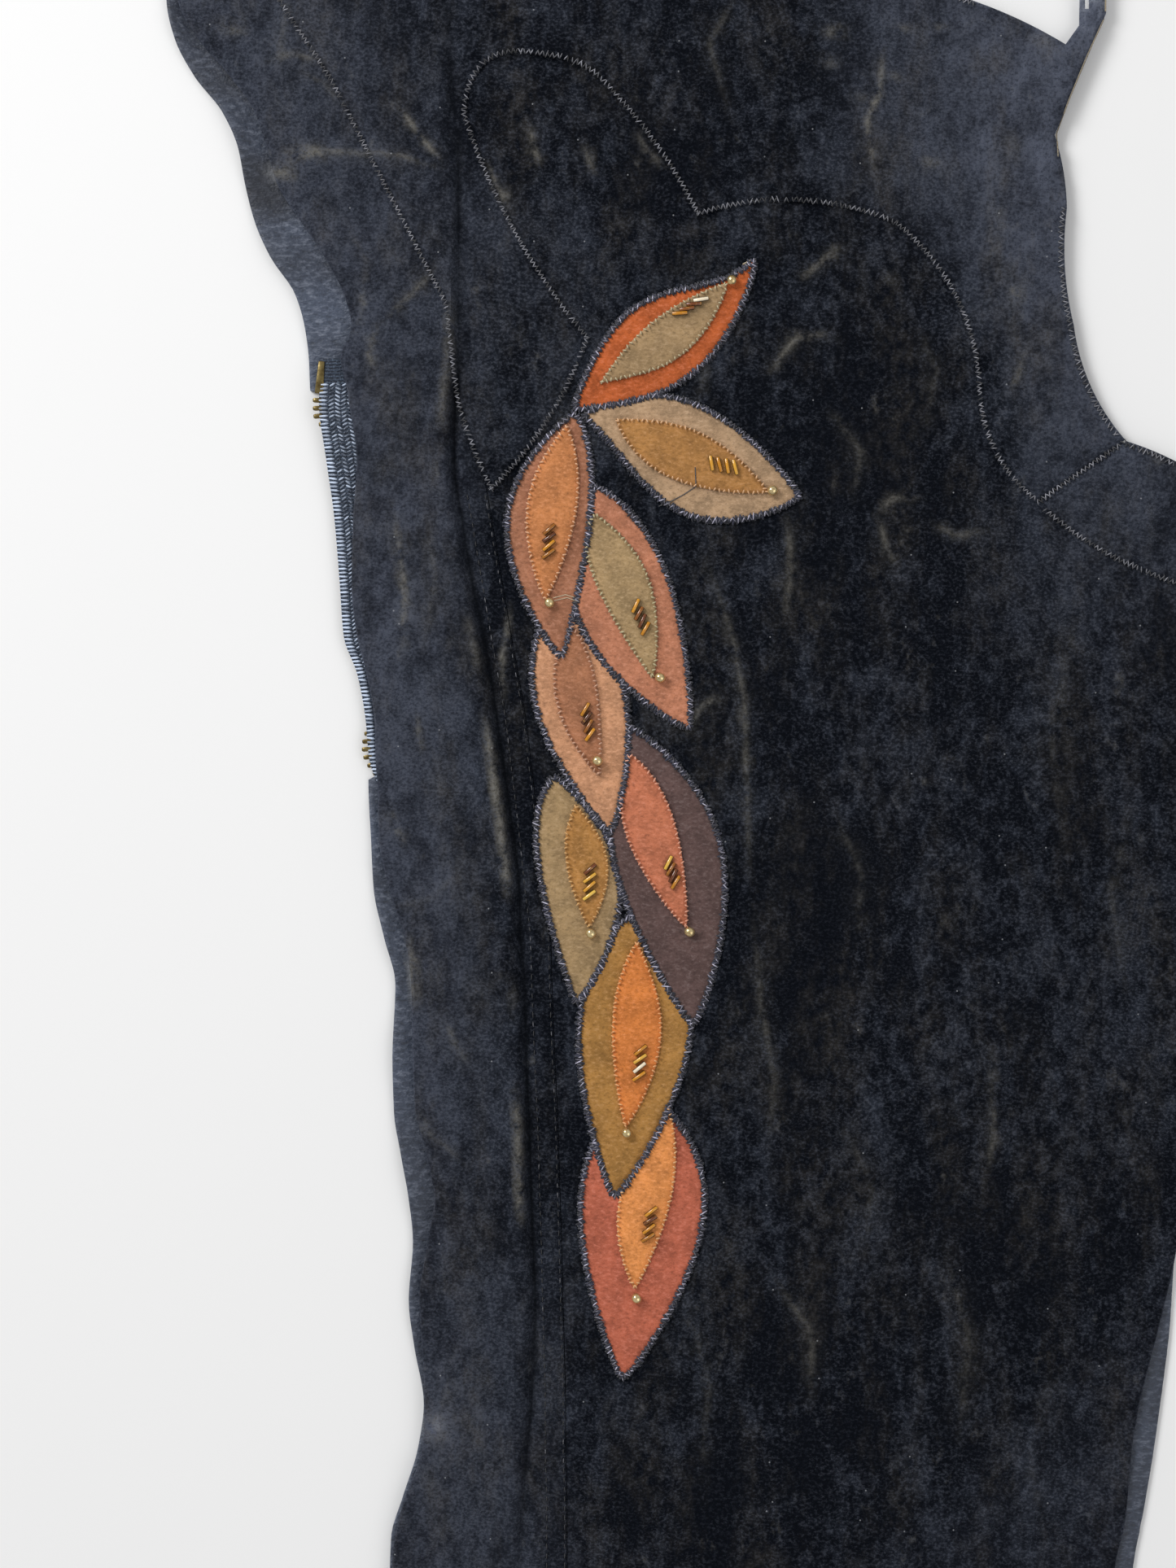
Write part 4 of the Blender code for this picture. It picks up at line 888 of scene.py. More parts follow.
class Finish:
    """A material's node graph."""

    def __init__(self, name, roughness, metallic=0.0):
        self.made = bpy.data.materials.new(name)
        self.made.use_nodes = True
        self.tree = self.made.node_tree
        self.shader = self.tree.nodes["Principled BSDF"]
        self.set({"Roughness": roughness, "Metallic": metallic})
        self.place = self.node("ShaderNodeTexCoord").outputs["Object"]

    def set(self, values):
        """Give sockets of the shader one value all over."""
        for key, value in values.items():
            self.shader.inputs[key].default_value = value

    def node(self, kind, sockets=None, **settings):
        """A node with its settings and sockets filled in."""
        made = self.tree.nodes.new(kind)
        for key, value in settings.items():
            setattr(made, key, value)
        for key, value in (sockets or {}).items():
            if isinstance(value, bpy.types.NodeSocket):
                self.tree.links.new(value, made.inputs[key])
            else:
                made.inputs[key].default_value = value
        return made

    def stretch(self, scale=(1.0, 1.0, 1.0), turn=0.0):
        """Object places stretched and turned."""
        return self.node("ShaderNodeMapping", {"Vector": self.place, "Scale": scale,
                                               "Rotation": (0.0, 0.0, turn)}).outputs[0]

    def noise(self, place, scale, detail=3.0, roughness=0.5):
        return self.node("ShaderNodeTexNoise", {"Vector": place, "Scale": scale, "Detail": detail,
                                                "Roughness": roughness}).outputs["Fac"]

    def span(self, value, low, high, to_low=0.0, to_high=1.0):
        """A value's range moved to another, clamped."""
        return self.node("ShaderNodeMapRange", {"Value": value, "From Min": low, "From Max": high,
                                                "To Min": to_low, "To Max": to_high}).outputs[0]

    def sum(self, a, b, operation="ADD"):
        return self.node("ShaderNodeMath", {0: a, 1: b}, operation=operation).outputs[0]

    def times(self, a, b):
        return self.sum(a, b, "MULTIPLY")

    def mix(self, share, a, b, blend="MIX"):
        """Two colours mixed."""
        fill = [(*c, 1.0) if isinstance(c, (tuple, list)) and len(c) == 3 else c for c in (a, b)]
        return self.node("ShaderNodeMix", {0: share, 6: fill[0], 7: fill[1]}, data_type="RGBA",
                         blend_type=blend).outputs[2]

    def attribute(self, name):
        return self.node("ShaderNodeAttribute", attribute_name=name).outputs["Fac"]

    def colour(self, socket):
        self.tree.links.new(socket, self.shader.inputs["Base Color"])

    def bump(self, height, depth, strength=1.0):
        """Raise the surface by a height of 0 to 1 over a depth in metres."""
        node = self.node("ShaderNodeBump", {"Height": height, "Distance": depth,
                                            "Strength": strength})
        previous = self.shader.inputs["Normal"]
        if previous.is_linked:
            self.tree.links.new(previous.links[0].from_socket, node.inputs["Normal"])
        self.tree.links.new(node.outputs[0], previous)

    def rough(self, socket):
        self.tree.links.new(socket, self.shader.inputs["Roughness"])


def kept(name, make, *looks):
    """The named material, made once."""
    return bpy.data.materials.get(name) or make(name, *looks)


def black_suede(name):
    """Blue-black suede: brushed patches with painted glare, clouded nap, chalky crests, lint, a
    painted highlight on the ridge and the cut edges, and painted shade in the groove beside the
    fold.
    """
    colours = bpy.context.scene.chaps_colours
    f = Finish(name, 0.95)
    wide = f.noise(f.stretch((1.0, 0.7, 1.0)), 17.0, 4.0, 0.62)
    cloud = f.noise(f.stretch((1.2, 0.7, 1.0), 0.15), 85.0, 4.0, 0.6)
    mottle = f.noise(f.stretch((1.1, 0.75, 1.0), -0.1), 230.0, 3.0, 0.6)
    streak = f.noise(f.stretch((0.8, 1.0, 1.0), 0.12), 1000.0, 2.0, 0.7)
    tone = f.sum(f.span(wide, 0.36, 0.68, -0.30, 0.45), f.span(cloud, 0.40, 0.68, -0.05, 0.62))
    tone = f.sum(tone, f.span(mottle, 0.42, 0.70, -0.20, 0.40))
    tone = f.sum(tone, f.attribute("pale"))
    base = f.mix(f.span(tone, 0.0, 1.0), colours.deep[:], colours.suede[:])
    warm = f.span(f.noise(f.stretch((1.3, 0.5, 1.0), 0.1), 48.0, 5.0, 0.62), 0.44, 0.70, 0.0, 0.6)
    base = f.mix(f.times(warm, f.span(mottle, 0.36, 0.66)), base, colour("#35322e"))
    # The pale attribute carries brushed nap, painted glare and the painted highlight on cut edges.
    paled = f.times(f.attribute("pale"), f.span(cloud, 0.34, 0.66, 0.6, 1.4))
    paled = f.times(paled, f.span(mottle, 0.34, 0.66, 0.75, 1.2))
    pale = f.mix(f.span(warm, 0.2, 0.75, 0.0, 0.7), colours.pale[:], colour("#5b5751"))
    base = f.mix(f.span(paled, 0.0, 1.0), base, pale)
    base = f.mix(f.span(paled, 1.0, 2.0), base, colour("#8f949f"))
    broken = f.noise(f.stretch(turn=0.4), 150.0, 5.0, 0.7)
    # Chalky crests, blots and scuffs, with the painted highlight along the ridge, in the dust
    # colour.
    chalk_and_highlight = f.times(f.attribute("dust_and_highlight"), f.span(broken, 0.36, 0.60, 0.02, 1.1))
    scuff = f.span(f.noise(f.stretch((1.0, 0.7, 1.0), 0.5), 95.0, 4.0, 0.65), 0.60, 0.76, 0.0, 0.40)
    chalk_and_highlight = f.sum(chalk_and_highlight, f.times(scuff, f.span(mottle, 0.5, 0.66, 0.0, 1.0)))
    base = f.mix(f.span(chalk_and_highlight, 0.0, 1.0, 0.0, 0.78), base, colours.dust_and_highlight[:])
    tip = f.times(f.span(streak, 0.48, 0.68, 0.0, 0.6), f.span(tone, -0.4, 0.7, 0.2, 1.0))
    base = f.mix(tip, base, colour("#3f424a"))
    speck = f.span(streak, 0.30, 0.60, 0.52, 1.28)
    base = f.mix(1.0, base, f.node("ShaderNodeCombineColor", {0: speck, 1: speck, 2: speck}
                                   ).outputs[0], "MULTIPLY")
    lint = f.node("ShaderNodeTexVoronoi", {"Vector": f.place, "Scale": 58.0},
                  voronoi_dimensions="2D")
    rare = f.span(f.node("ShaderNodeSeparateColor", {0: lint.outputs["Color"]}).outputs[0],
                  0.80, 0.81)
    fleck = f.times(f.span(lint.outputs["Distance"], 0.012, 0.020, 1.0, 0.0), rare)
    base = f.mix(f.times(fleck, 0.5), base, colour("#a4a6aa"))
    # Painted shade: the groove beside the fold is darkened to near black.
    f.colour(f.mix(f.times(f.attribute("groove_and_painted_shade"), 0.85), base, colour("#030406")))
    f.bump(streak, 0.0004, 0.8)
    f.bump(mottle, 0.0010, 0.6)
    f.bump(cloud, 0.0026, 0.6)
    f.set({"Sheen Weight": 0.10, "Sheen Roughness": 0.5, "Specular IOR Level": 0.18,
           "Sheen Tint": (*colour("#8f9ab8"), 1.0), "Specular Tint": (*colour("#b4bdd0"), 1.0)})
    return f.made


def grain_leather(name):
    """The leather's smooth side: blue-grey with a pebbled grain and fine cross wrinkles, with a
    painted sheen down the leg, painted highlights on the wrinkles' crests and painted shade in
    their troughs.
    """
    colours = bpy.context.scene.chaps_colours
    f = Finish(name, 0.55)
    wide = f.noise(f.stretch(), 34.0, 4.0, 0.65)
    wrinkle = f.noise(f.stretch((0.42, 1.0, 1.0), 0.12), 640.0, 3.0, 0.66)
    pebble = f.node("ShaderNodeTexVoronoi", {"Vector": f.place, "Scale": 900.0},
                    feature="SMOOTH_F1").outputs["Distance"]
    # The pale attribute holds the painted sheen down the leg.
    tone = f.sum(f.attribute("pale"), f.span(wide, 0.3, 0.7, -0.2, 0.25))
    base = f.mix(f.span(tone, 0.0, 1.0), colour("#1f232d"), colours.grain[:])
    # Painted highlights on the wrinkles' crests, then painted shade in their troughs.
    lit = f.times(f.span(wrinkle, 0.50, 0.70, 0.0, 0.6), f.span(tone, 0.0, 0.8, 0.25, 1.0))
    base = f.mix(lit, base, colour("#858b9a"))
    base = f.mix(f.span(wrinkle, 0.30, 0.46, 0.55, 0.0), base, colour("#171a22"))
    base = f.mix(f.span(f.attribute("dust_and_highlight"), 0.0, 1.0), base, colour("#8a8c90"))
    f.colour(base)
    f.rough(f.span(wrinkle, 0.3, 0.7, 0.46, 0.7))
    f.bump(pebble, 0.0003, 0.5)
    f.bump(wrinkle, 0.0010, 0.7)
    return f.made


def leaf_suede(name, code):
    """Coloured suede of a leaf, mottled, with a fine nap."""
    f = Finish(name, 0.92)
    tone = colour(code)
    cloud = f.noise(f.place, 120.0, 5.0, 0.68)
    nap = f.noise(f.stretch((0.6, 1.0, 1.0), 0.5), 900.0, 3.0, 0.7)
    fleck = f.noise(f.place, 480.0, 3.0, 0.68)
    light = [min(1.0, c * 1.3 + 0.05) for c in tone]
    base = f.mix(f.span(cloud, 0.32, 0.68), [c * 0.72 for c in tone],
                 [min(1.0, c * 1.28) for c in tone])
    base = f.mix(f.span(fleck, 0.54, 0.70, 0.0, 0.55), base, [c * 0.42 for c in tone])
    base = f.mix(f.span(nap, 0.52, 0.68, 0.0, 0.7), base, light)
    base = f.mix(f.span(nap, 0.32, 0.47, 0.55, 0.0), base, [c * 0.45 for c in tone])
    f.colour(base)
    f.bump(nap, 0.0002, 0.7)
    f.bump(fleck, 0.0004, 0.5)
    f.set({"Sheen Weight": 0.18, "Sheen Roughness": 0.5, "Specular IOR Level": 0.2})
    return f.made


def thread(name, dark, light, roughness=0.6):
    """Twisted thread, its tone set stitch by stitch between a dark and a light colour. Where the
    dark colour is a dimmed copy of the light one, they are painted shade and painted highlight on
    one thread.
    """
    f = Finish(name, roughness)
    twist = f.noise(f.stretch(turn=0.8), 2600.0, 2.0, 0.6)
    tone = f.sum(f.attribute("tone"), f.span(twist, 0.3, 0.7, -0.25, 0.25))
    f.colour(f.mix(f.span(tone, 0.0, 1.0), dark, light))
    f.bump(twist, 0.00015, 0.6)
    f.set({"Sheen Weight": 0.2})
    return f.made


def tape_weave(name):
    """Knitted tape, navy with paler ribs, painted shade between the ribs and pale flecks painted as
    glints on the fibres.
    """
    colours = bpy.context.scene.chaps_colours
    f = Finish(name, 0.85)
    ribs = f.node("ShaderNodeTexWave", {"Vector": f.place, "Scale": 260.0, "Distortion": 2.5,
                                        "Detail": 2.0, "Detail Scale": 3.0},
                  bands_direction="Y").outputs["Fac"]
    fibre = f.noise(f.place, 1500.0, 3.0, 0.6)
    # Painted shade: darker between the ribs.
    base = f.mix(ribs, colour("#141b28"), colours.tape[:])
    # Pale flecks: painted glints on the fibres.
    f.colour(f.mix(f.span(fibre, 0.5, 0.75, 0.0, 0.5), base, colour("#8293a8")))
    f.bump(ribs, 0.0005, 0.8)
    f.bump(fibre, 0.0002, 0.6)
    return f.made


def aged_brass(name):
    """Brass of the zip, dull and rubbed bright in patches at random."""
    colours = bpy.context.scene.chaps_colours
    f = Finish(name, 0.4, 1.0)
    stain = f.noise(f.place, 420.0, 4.0, 0.65)
    f.colour(f.mix(f.span(stain, 0.35, 0.65), colour("#55482c"), colours.brass[:]))
    f.rough(f.span(stain, 0.3, 0.7, 0.55, 0.28))
    f.bump(f.noise(f.place, 1400.0, 2.0), 0.0001, 0.5)
    return f.made


def bead_glass(name):
    """Amber and brown glass, its tone set bead by bead, with painted glints streaked along it and
    painted shade on the sides that face away from above.
    """
    f = Finish(name, 0.25, 0.0)
    ramp = f.node("ShaderNodeValToRGB", {"Fac": f.attribute("tone")})
    ramp.color_ramp.elements[0].color = (*colour("#1d0d05"), 1.0)
    # The ramp's near-white top is a painted glint, given to the bugles with the highest tones.
    ramp.color_ramp.elements[1].color = (*colour("#f3e6cf"), 1.0)
    for spot, code in ((0.3, "#7a3c06"), (0.55, "#d08a10"), (0.8, "#e8bc4c")):
        ramp.color_ramp.elements.new(spot).color = (*colour(code), 1.0)
    # Painted glints streaked along the glass.
    glint_streaks = f.noise(f.stretch(turn=0.6), 900.0, 2.0)
    glass = f.mix(f.span(glint_streaks, 0.58, 0.7, 0.0, 0.35), ramp.outputs[0], colour("#e6b458"))
    # Painted shade: the sides that face away from above darken to near black.
    facing_shade = f.node("ShaderNodeSeparateXYZ", {0: f.node("ShaderNodeNewGeometry").outputs["Normal"]})
    f.colour(f.mix(f.span(facing_shade.outputs[2], 0.45, 0.85), colour("#180a04"), glass))
    f.bump(glint_streaks, 0.0001, 0.3)
    f.set({"Coat Weight": 0.35, "Coat Roughness": 0.12})
    return f.made


def gold_bead(name):
    """Round metallic bead with a slightly worn plating."""
    colours = bpy.context.scene.chaps_colours
    f = Finish(name, 0.16, 0.85)
    highlight_and_wear = f.noise(f.place, 700.0, 3.0, 0.6)
    f.colour(f.mix(f.span(highlight_and_wear, 0.45, 0.75), colours.gold[:], colour("#a98a52")))
    f.rough(f.span(highlight_and_wear, 0.3, 0.7, 0.10, 0.30))
    f.bump(highlight_and_wear, 0.0001, 0.3)
    return f.made


# Small repeated things

def strokes_group():
    """Node group that sets a unit piece on every point, turned and sized as the points say."""
    title = "Set on points"
    if title in bpy.data.node_groups:
        return bpy.data.node_groups[title]
    group = bpy.data.node_groups.new(title, "GeometryNodeTree")
    group.interface.new_socket("Points", in_out="INPUT", socket_type="NodeSocketGeometry")
    group.interface.new_socket("Unit", in_out="INPUT", socket_type="NodeSocketObject")
    group.interface.new_socket("Pieces", in_out="OUTPUT", socket_type="NodeSocketGeometry")
    make = group.nodes.new
    start, end = make("NodeGroupInput"), make("NodeGroupOutput")
    unit, setter = make("GeometryNodeObjectInfo"), make("GeometryNodeInstanceOnPoints")
    real = make("GeometryNodeRealizeInstances")
    link = group.links.new
    for name, socket in (("turn", "Rotation"), ("size", "Scale")):
        read = make("GeometryNodeInputNamedAttribute")
        read.data_type = "FLOAT_VECTOR"
        read.inputs["Name"].default_value = name
        link(read.outputs["Attribute"], setter.inputs[socket])
    link(start.outputs["Points"], setter.inputs["Points"])
    link(start.outputs["Unit"], unit.inputs["Object"])
    link(unit.outputs["Geometry"], setter.inputs["Instance"])
    link(setter.outputs["Instances"], real.inputs["Geometry"])
    link(real.outputs["Geometry"], end.inputs["Pieces"])
    return group


def scatter(name, unit, rows, side, finish):
    """Join copies of a unit into one piece. Each row has x, y, z, heading, tilt, three sizes and
    a tone, with the places in millimetres and the angles in radians."""
    rows = np.array(rows, float)
    spots = rows[:, :3] * (SIDES[side] * MM, MM, MM)
    heading = rows[:, 3] if side == "r" else math.pi - rows[:, 3]
    turn = np.stack([np.zeros(len(rows)), rows[:, 4], heading], axis=1)
    mesh = bpy.data.meshes.new(name)
    mesh.vertices.add(len(rows))
    mesh.vertices.foreach_set("co", spots.ravel())
    for key, values in (("turn", turn), ("size", rows[:, 5:8] * MM)):
        layer = mesh.attributes.new(key, "FLOAT_VECTOR", "POINT")
        layer.data.foreach_set("vector", values.ravel())
    mesh.attributes.new("tone", "FLOAT", "POINT").data.foreach_set("value", rows[:, 8])
    points = bpy.data.objects.new(name, mesh)
    bpy.context.scene.collection.objects.link(points)
    change = points.modifiers.new("set", "NODES")
    change.node_group = strokes_group()
    socket = next(s for s in change.node_group.interface.items_tree if s.name == "Unit")
    change[socket.identifier] = unit
    graph = bpy.context.evaluated_depsgraph_get()
    joined = bpy.data.meshes.new_from_object(points.evaluated_get(graph), depsgraph=graph)
    points.modifiers.clear()
    points.data = joined
    joined.name = name
    joined.materials.clear()
    joined.materials.append(finish)
    for key in ("turn", "size"):
        if key in joined.attributes:
            joined.attributes.remove(joined.attributes[key])
    joined.shade_smooth()
    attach(points, "root")
    return points


def rows_of(*columns):
    """Rows for scatter from its nine columns, each of them an array or one value for all."""
    return np.stack(np.broadcast_arrays(*columns), axis=1)


def unit_object(name, bm):
    """A unit for scatter to copy, removed when the pieces are made."""
    made = linked(name, bm)
    made.data.shade_smooth()
    return made


def stroke_unit():
    """A stroke of thread, one unit long, thick in the middle."""
    bm = bmesh.new()
    bmesh.ops.create_icosphere(bm, subdivisions=1, radius=0.5)
    return unit_object("thread_unit", bm)


def tooth_unit():
    """A zip tooth gripping the tape's cord, with a nib at its free end."""
    bm = bmesh.new()
    bmesh.ops.create_cube(bm, size=1.0)
    top = [f for f in bm.faces if f.normal.x < -0.5]
    bmesh.ops.inset_region(bm, faces=top, thickness=0.18, use_boundary=True, use_even_offset=True)
    bmesh.ops.translate(bm, verts=top[0].verts[:], vec=(-0.22, 0.0, 0.0))
    bmesh.ops.bevel(bm, geom=bm.edges[:], offset=0.07, offset_type="OFFSET", segments=1,
                    profile=0.5, affect="EDGES", material=-1, clamp_overlap=True)
    return unit_object("tooth_unit", bm)


def bead_unit(half, outer, bore, round_it):
    """A bead turned about its bore, along X. round_it gives a ball instead of a tube."""
    bm = bmesh.new()
    if round_it:
        turns = np.linspace(-1.12, 1.12, 9)
        ring = [(half * math.sin(t), outer * math.cos(t)) for t in turns]
        ring += [(ring[-1][0] * 0.9, bore), (-ring[-1][0] * 0.9, bore)]
    else:
        edge = 0.12
        ring = [(-half, outer - edge), (-half + edge, outer), (half - edge, outer),
                (half, outer - edge), (half, bore), (-half, bore)]
    verts = [bm.verts.new((x, 0.0, r)) for x, r in ring]
    edges = [bm.edges.new((a, b)) for a, b in zip(verts, verts[1:] + verts[:1])]
    bmesh.ops.spin(bm, geom=verts + edges, cent=(0, 0, 0), axis=(1, 0, 0), dvec=(0, 0, 0),
                   angle=2 * math.pi, steps=12, use_merge=True, use_duplicate=False)
    bmesh.ops.remove_doubles(bm, verts=bm.verts[:], dist=1e-5)
    bmesh.ops.recalc_face_normals(bm, faces=bm.faces[:])
    return unit_object("bead_unit", bm)


def walk(line, pitch, closed=False):
    """Even places along a line with their headings, in order."""
    points = np.array([*line, line[0]] if closed else line, float)
    legs = np.hypot(*np.diff(points, axis=0).T)
    gone = np.concatenate([[0.0], np.cumsum(legs)])
    count = max(2, int(round(gone[-1] / pitch)))
    spots = np.linspace(0.0, gone[-1], count + 1)[:-1] + gone[-1] / count / 2
    x, y = np.interp(spots, gone, points[:, 0]), np.interp(spots, gone, points[:, 1])
    ahead, behind = spots + 1.2, spots - 1.2
    if closed:
        ahead, behind = ahead % gone[-1], behind % gone[-1]
    dx = np.interp(ahead, gone, points[:, 0]) - np.interp(behind, gone, points[:, 0])
    dy = np.interp(ahead, gone, points[:, 1]) - np.interp(behind, gone, points[:, 1])
    return x, y, np.arctan2(dy, dx)


def laid(x, y, heading, length, side, rise=0.1):
    """Heights and tilts that lay strokes of a length on whatever lies under them."""
    along = np.array([-0.42, -0.2, 0.0, 0.2, 0.42])[:, None] * length
    px = (x + along * np.cos(heading)).ravel()
    py = (y + along * np.sin(heading)).ravel()
    under = (underside(px, py, side) + top_level(px, py)).reshape(5, -1)
    slope = np.clip((under[4] - under[0]) / (along[4] - along[0]), -0.5, 0.5)
    high = (under - slope * along).max(axis=0)
    return high + rise, -np.arctan(slope)


def zigzag(line, pitch, length, width, lean, side, seed, closed=False, out=0.0, hide=None,
           tones=(0.3, 1.0), thick=None, skip=0.0, rough=1.0):
    """Rows for scatter: a zigzag along a line, in strokes that lean one way and the other."""
    x, y, along = walk(line, pitch / 2, closed)
    odd = np.arange(len(x)) % 2
    random = np.random.default_rng(seed)
    jitter = random.normal(0.0, rough, (4, len(x)))
    heading = along + math.pi / 2 + np.where(odd == 1, lean, -lean) + jitter[0] * 0.07
    x = x + np.sin(along) * out + jitter[1] * 0.06
    y = y - np.cos(along) * out + jitter[2] * 0.06
    long = length * (1 + 0.08 * jitter[3])
    z, tilt = laid(x, y, heading, long, side)
    tone = random.uniform(tones[0], tones[1], len(x))
    thick = width if thick is None else thick
    rows = rows_of(x, y, z, heading, tilt, long, width, thick, tone)
    seen = np.ones(len(x), bool) if hide is None else ~hide(x, y)
    if skip:
        seen &= random.uniform(0, 1, len(x)) > skip
    return rows[seen]


def over_leaf(number):
    """Outlines of the pieces that lie over a leaf."""
    return ([OUTLINES["leaf", k] for k in LIES_UNDER[number]]
            + ([OUTLINES["yoke"]] if number in UNDER_YOKE else []))


def covered(number):
    """Test for the places of a leaf that lie under other pieces."""
    def test(x, y):
        found = np.zeros(np.shape(x), bool)
        for outline in over_leaf(number):
            found |= inside(x, y, outline)
        return found
    return test


# Operators, one for each piece or group of like pieces

class CHAPS_OT_back(bpy.types.Operator):
    """Both back panels, smooth side up, with a wavy free edge"""

    bl_idname = "chaps.back"
    bl_label = "Back Panels"

    def execute(self, context):
        heights = (0.0, context.scene.chaps_sizes.leather / MM)
        outline = back_outline()
        flat = plan(outline, (14.0, 5.0), BACK_OUTER, ((1.5, 33.0, 2.5),))
        for side in SIDES:
            dress(("back_panel", "back"), "grain", side, outline, flat, heights, back_lie,
                  kept("Smooth side", grain_leather), tones=GRAIN_SHEEN)
        flat.free()
        return {"FINISHED"}


def seam_drop(x, y):
    """The front and the flap pull down along the rows of stitching between them."""
    seam = at(SEAM, y)
    rows = [np.exp(-((x - seam - off) / 1.1) ** 2) for off in (0.0, FLAP_LAP - ROW_INSET)]
    inner = np.where(x > seam + FLAP_LAP, 0.35 * np.exp(-((x - seam - FLAP_LAP) / 3.0) ** 2), 0.0)
    drop = 0.32 * rows[0] + 0.28 * rows[1] * (x < seam + FLAP_LAP) + inner
    return drop * ease((SEAM_SHOWS + 5.0 - y) / 10.0)


def suede_panels(names, slot, outline, flat, rests_on):
    """A panel of black suede on each leg, creased and sewn down along the seam."""
    heights = (0.0, bpy.context.scene.chaps_sizes.leather / MM)
    for side in SIDES:
        dress(names, slot, side, outline, flat, heights, underside,
              kept("Black suede", black_suede), rests_on, top_drop=seam_drop)
    flat.free()


class CHAPS_OT_front(bpy.types.Operator):
    """Both front panels with their long soft folds and creases"""

    bl_idname = "chaps.front"
    bl_label = "Front Panels"

    def execute(self, context):
        outline = front_outline()
        step = context.scene.chaps_sizes.weave / MM
        flat = plan(outline, (step * 1.17, step * 1.17), SEAM, ((8.2, 13.0, 1.6),), creased=True)
        suede_panels(("front_panel", "front"), "suede", outline, flat, "back_panel")
        return {"FINISHED"}


class CHAPS_OT_flap(bpy.types.Operator):
    """Both side flaps, each with its ridge and fold"""

    bl_idname = "chaps.flap"
    bl_label = "Side Flaps"

    def execute(self, context):
        outline = flap_outline()
        step = context.scene.chaps_sizes.weave / MM
        bands = ((-11.0, -5.2, 1.5), (-4.5, 4.5, 0.9), (6.0, 13.0, 1.4), (14.6, 26.0, 1.9))
        flat = plan(outline, (step * 1.2, step), FOLD, bands, creased=True)
        suede_panels(("side_flap", "flap"), "suede_flap", outline, flat, "zip_tape_front")
        return {"FINISHED"}


def sewn_down(outline, depth, width):
    """Drop of a piece's top towards its sewn edge."""
    closed = outline + outline[:1]
    return lambda x, y: depth * np.exp(-(away(x, y, closed)[0] / width) ** 2)


class CHAPS_OT_yoke(bpy.types.Operator):
    """Both scalloped yokes with their slotted tabs, and both crotch pieces"""

    bl_idname = "chaps.yoke"
    bl_label = "Yokes"

    def execute(self, context):
        low = WALL + GAP
        heights = (low, low + context.scene.chaps_sizes.overlay / MM)
        for name, key, hole in (("yoke", "yoke", SLOT), ("crotch_piece", "crotch", None)):
            outline = OUTLINES[key]
            flat = plan(outline, (2.6, 2.6), rim=0.5, hole=hole, creased=True)
            for side in SIDES:
                dress((name + "_suede", name), "suede_yoke", side, outline, flat, heights,
                      underside, kept("Yoke suede", black_suede), "front_panel",
                      top_drop=sewn_down(outline, 0.55, 1.8))
            flat.free()
        return {"FINISHED"}


class CHAPS_OT_leaves(bpy.types.Operator):
    """Nine leaves and nine inlays on each leg, cut back where others lie over them"""

    bl_idname = "chaps.leaves"
    bl_label = "Leaves"

    def execute(self, context):
        thick = context.scene.chaps_sizes.applique / MM
        low = WALL + GAP
        for kind, table, base, step in (("leaf", LEAVES, low, 2.4),
                                        ("inlay", INLAYS, low + thick + GAP, 2.0)):
            for k in table:
                code = LEAF_FINISHES[k][0 if kind == "leaf" else 1]
                finish = kept(f"{kind} {k} suede", leaf_suede, code)
                outline = OUTLINES[kind, k]
                flat = plan(outline, (step, step), rim=0.35)
                for side in SIDES:
                    piece = cloth(f"{kind}_suede_{k}_{side}", flat, side, base, base + thick,
                                  underside, finish, sewn_down(outline, 0.35, 1.6), 0.3)
                    trim(piece, k, side)
                    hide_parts(f"{kind}_{k}_{side}")
                    xs = [v.co.x for v in piece.data.vertices]
                    ys = [v.co.y for v in piece.data.vertices]
                    declare(max(xs) - min(xs), max(ys) - min(ys),
                            sum(p.area for p in piece.data.polygons) / 2)
                flat.free()
        return {"FINISHED"}


def trim(piece, number, side):
    """Cut a leaf back to the edges of the pieces that lie over it."""
    over = over_leaf(number)
    if not over:
        return
    cutters = []
    for outline in over:
        bm = bmesh.new()
        bm.faces.new([bm.verts.new((x, y, -2.0)) for x, y in outline])
        solid = bmesh.ops.extrude_face_region(bm, geom=bm.faces[:])
        for v in (g for g in solid["geom"] if isinstance(g, bmesh.types.BMVert)):
            v.co.z = 30.0
        to_metres(bm, side)
        cutters.append(linked("cutter", bm))
        change = piece.modifiers.new("trim", "BOOLEAN")
        change.operation, change.solver = "DIFFERENCE", "MANIFOLD"
        change.object = cutters[-1]
    graph = bpy.context.evaluated_depsgraph_get()
    mesh = bpy.data.meshes.new_from_object(piece.evaluated_get(graph), depsgraph=graph)
    piece.modifiers.clear()
    piece.data = mesh
    for cutter in cutters:
        bpy.data.objects.remove(cutter)


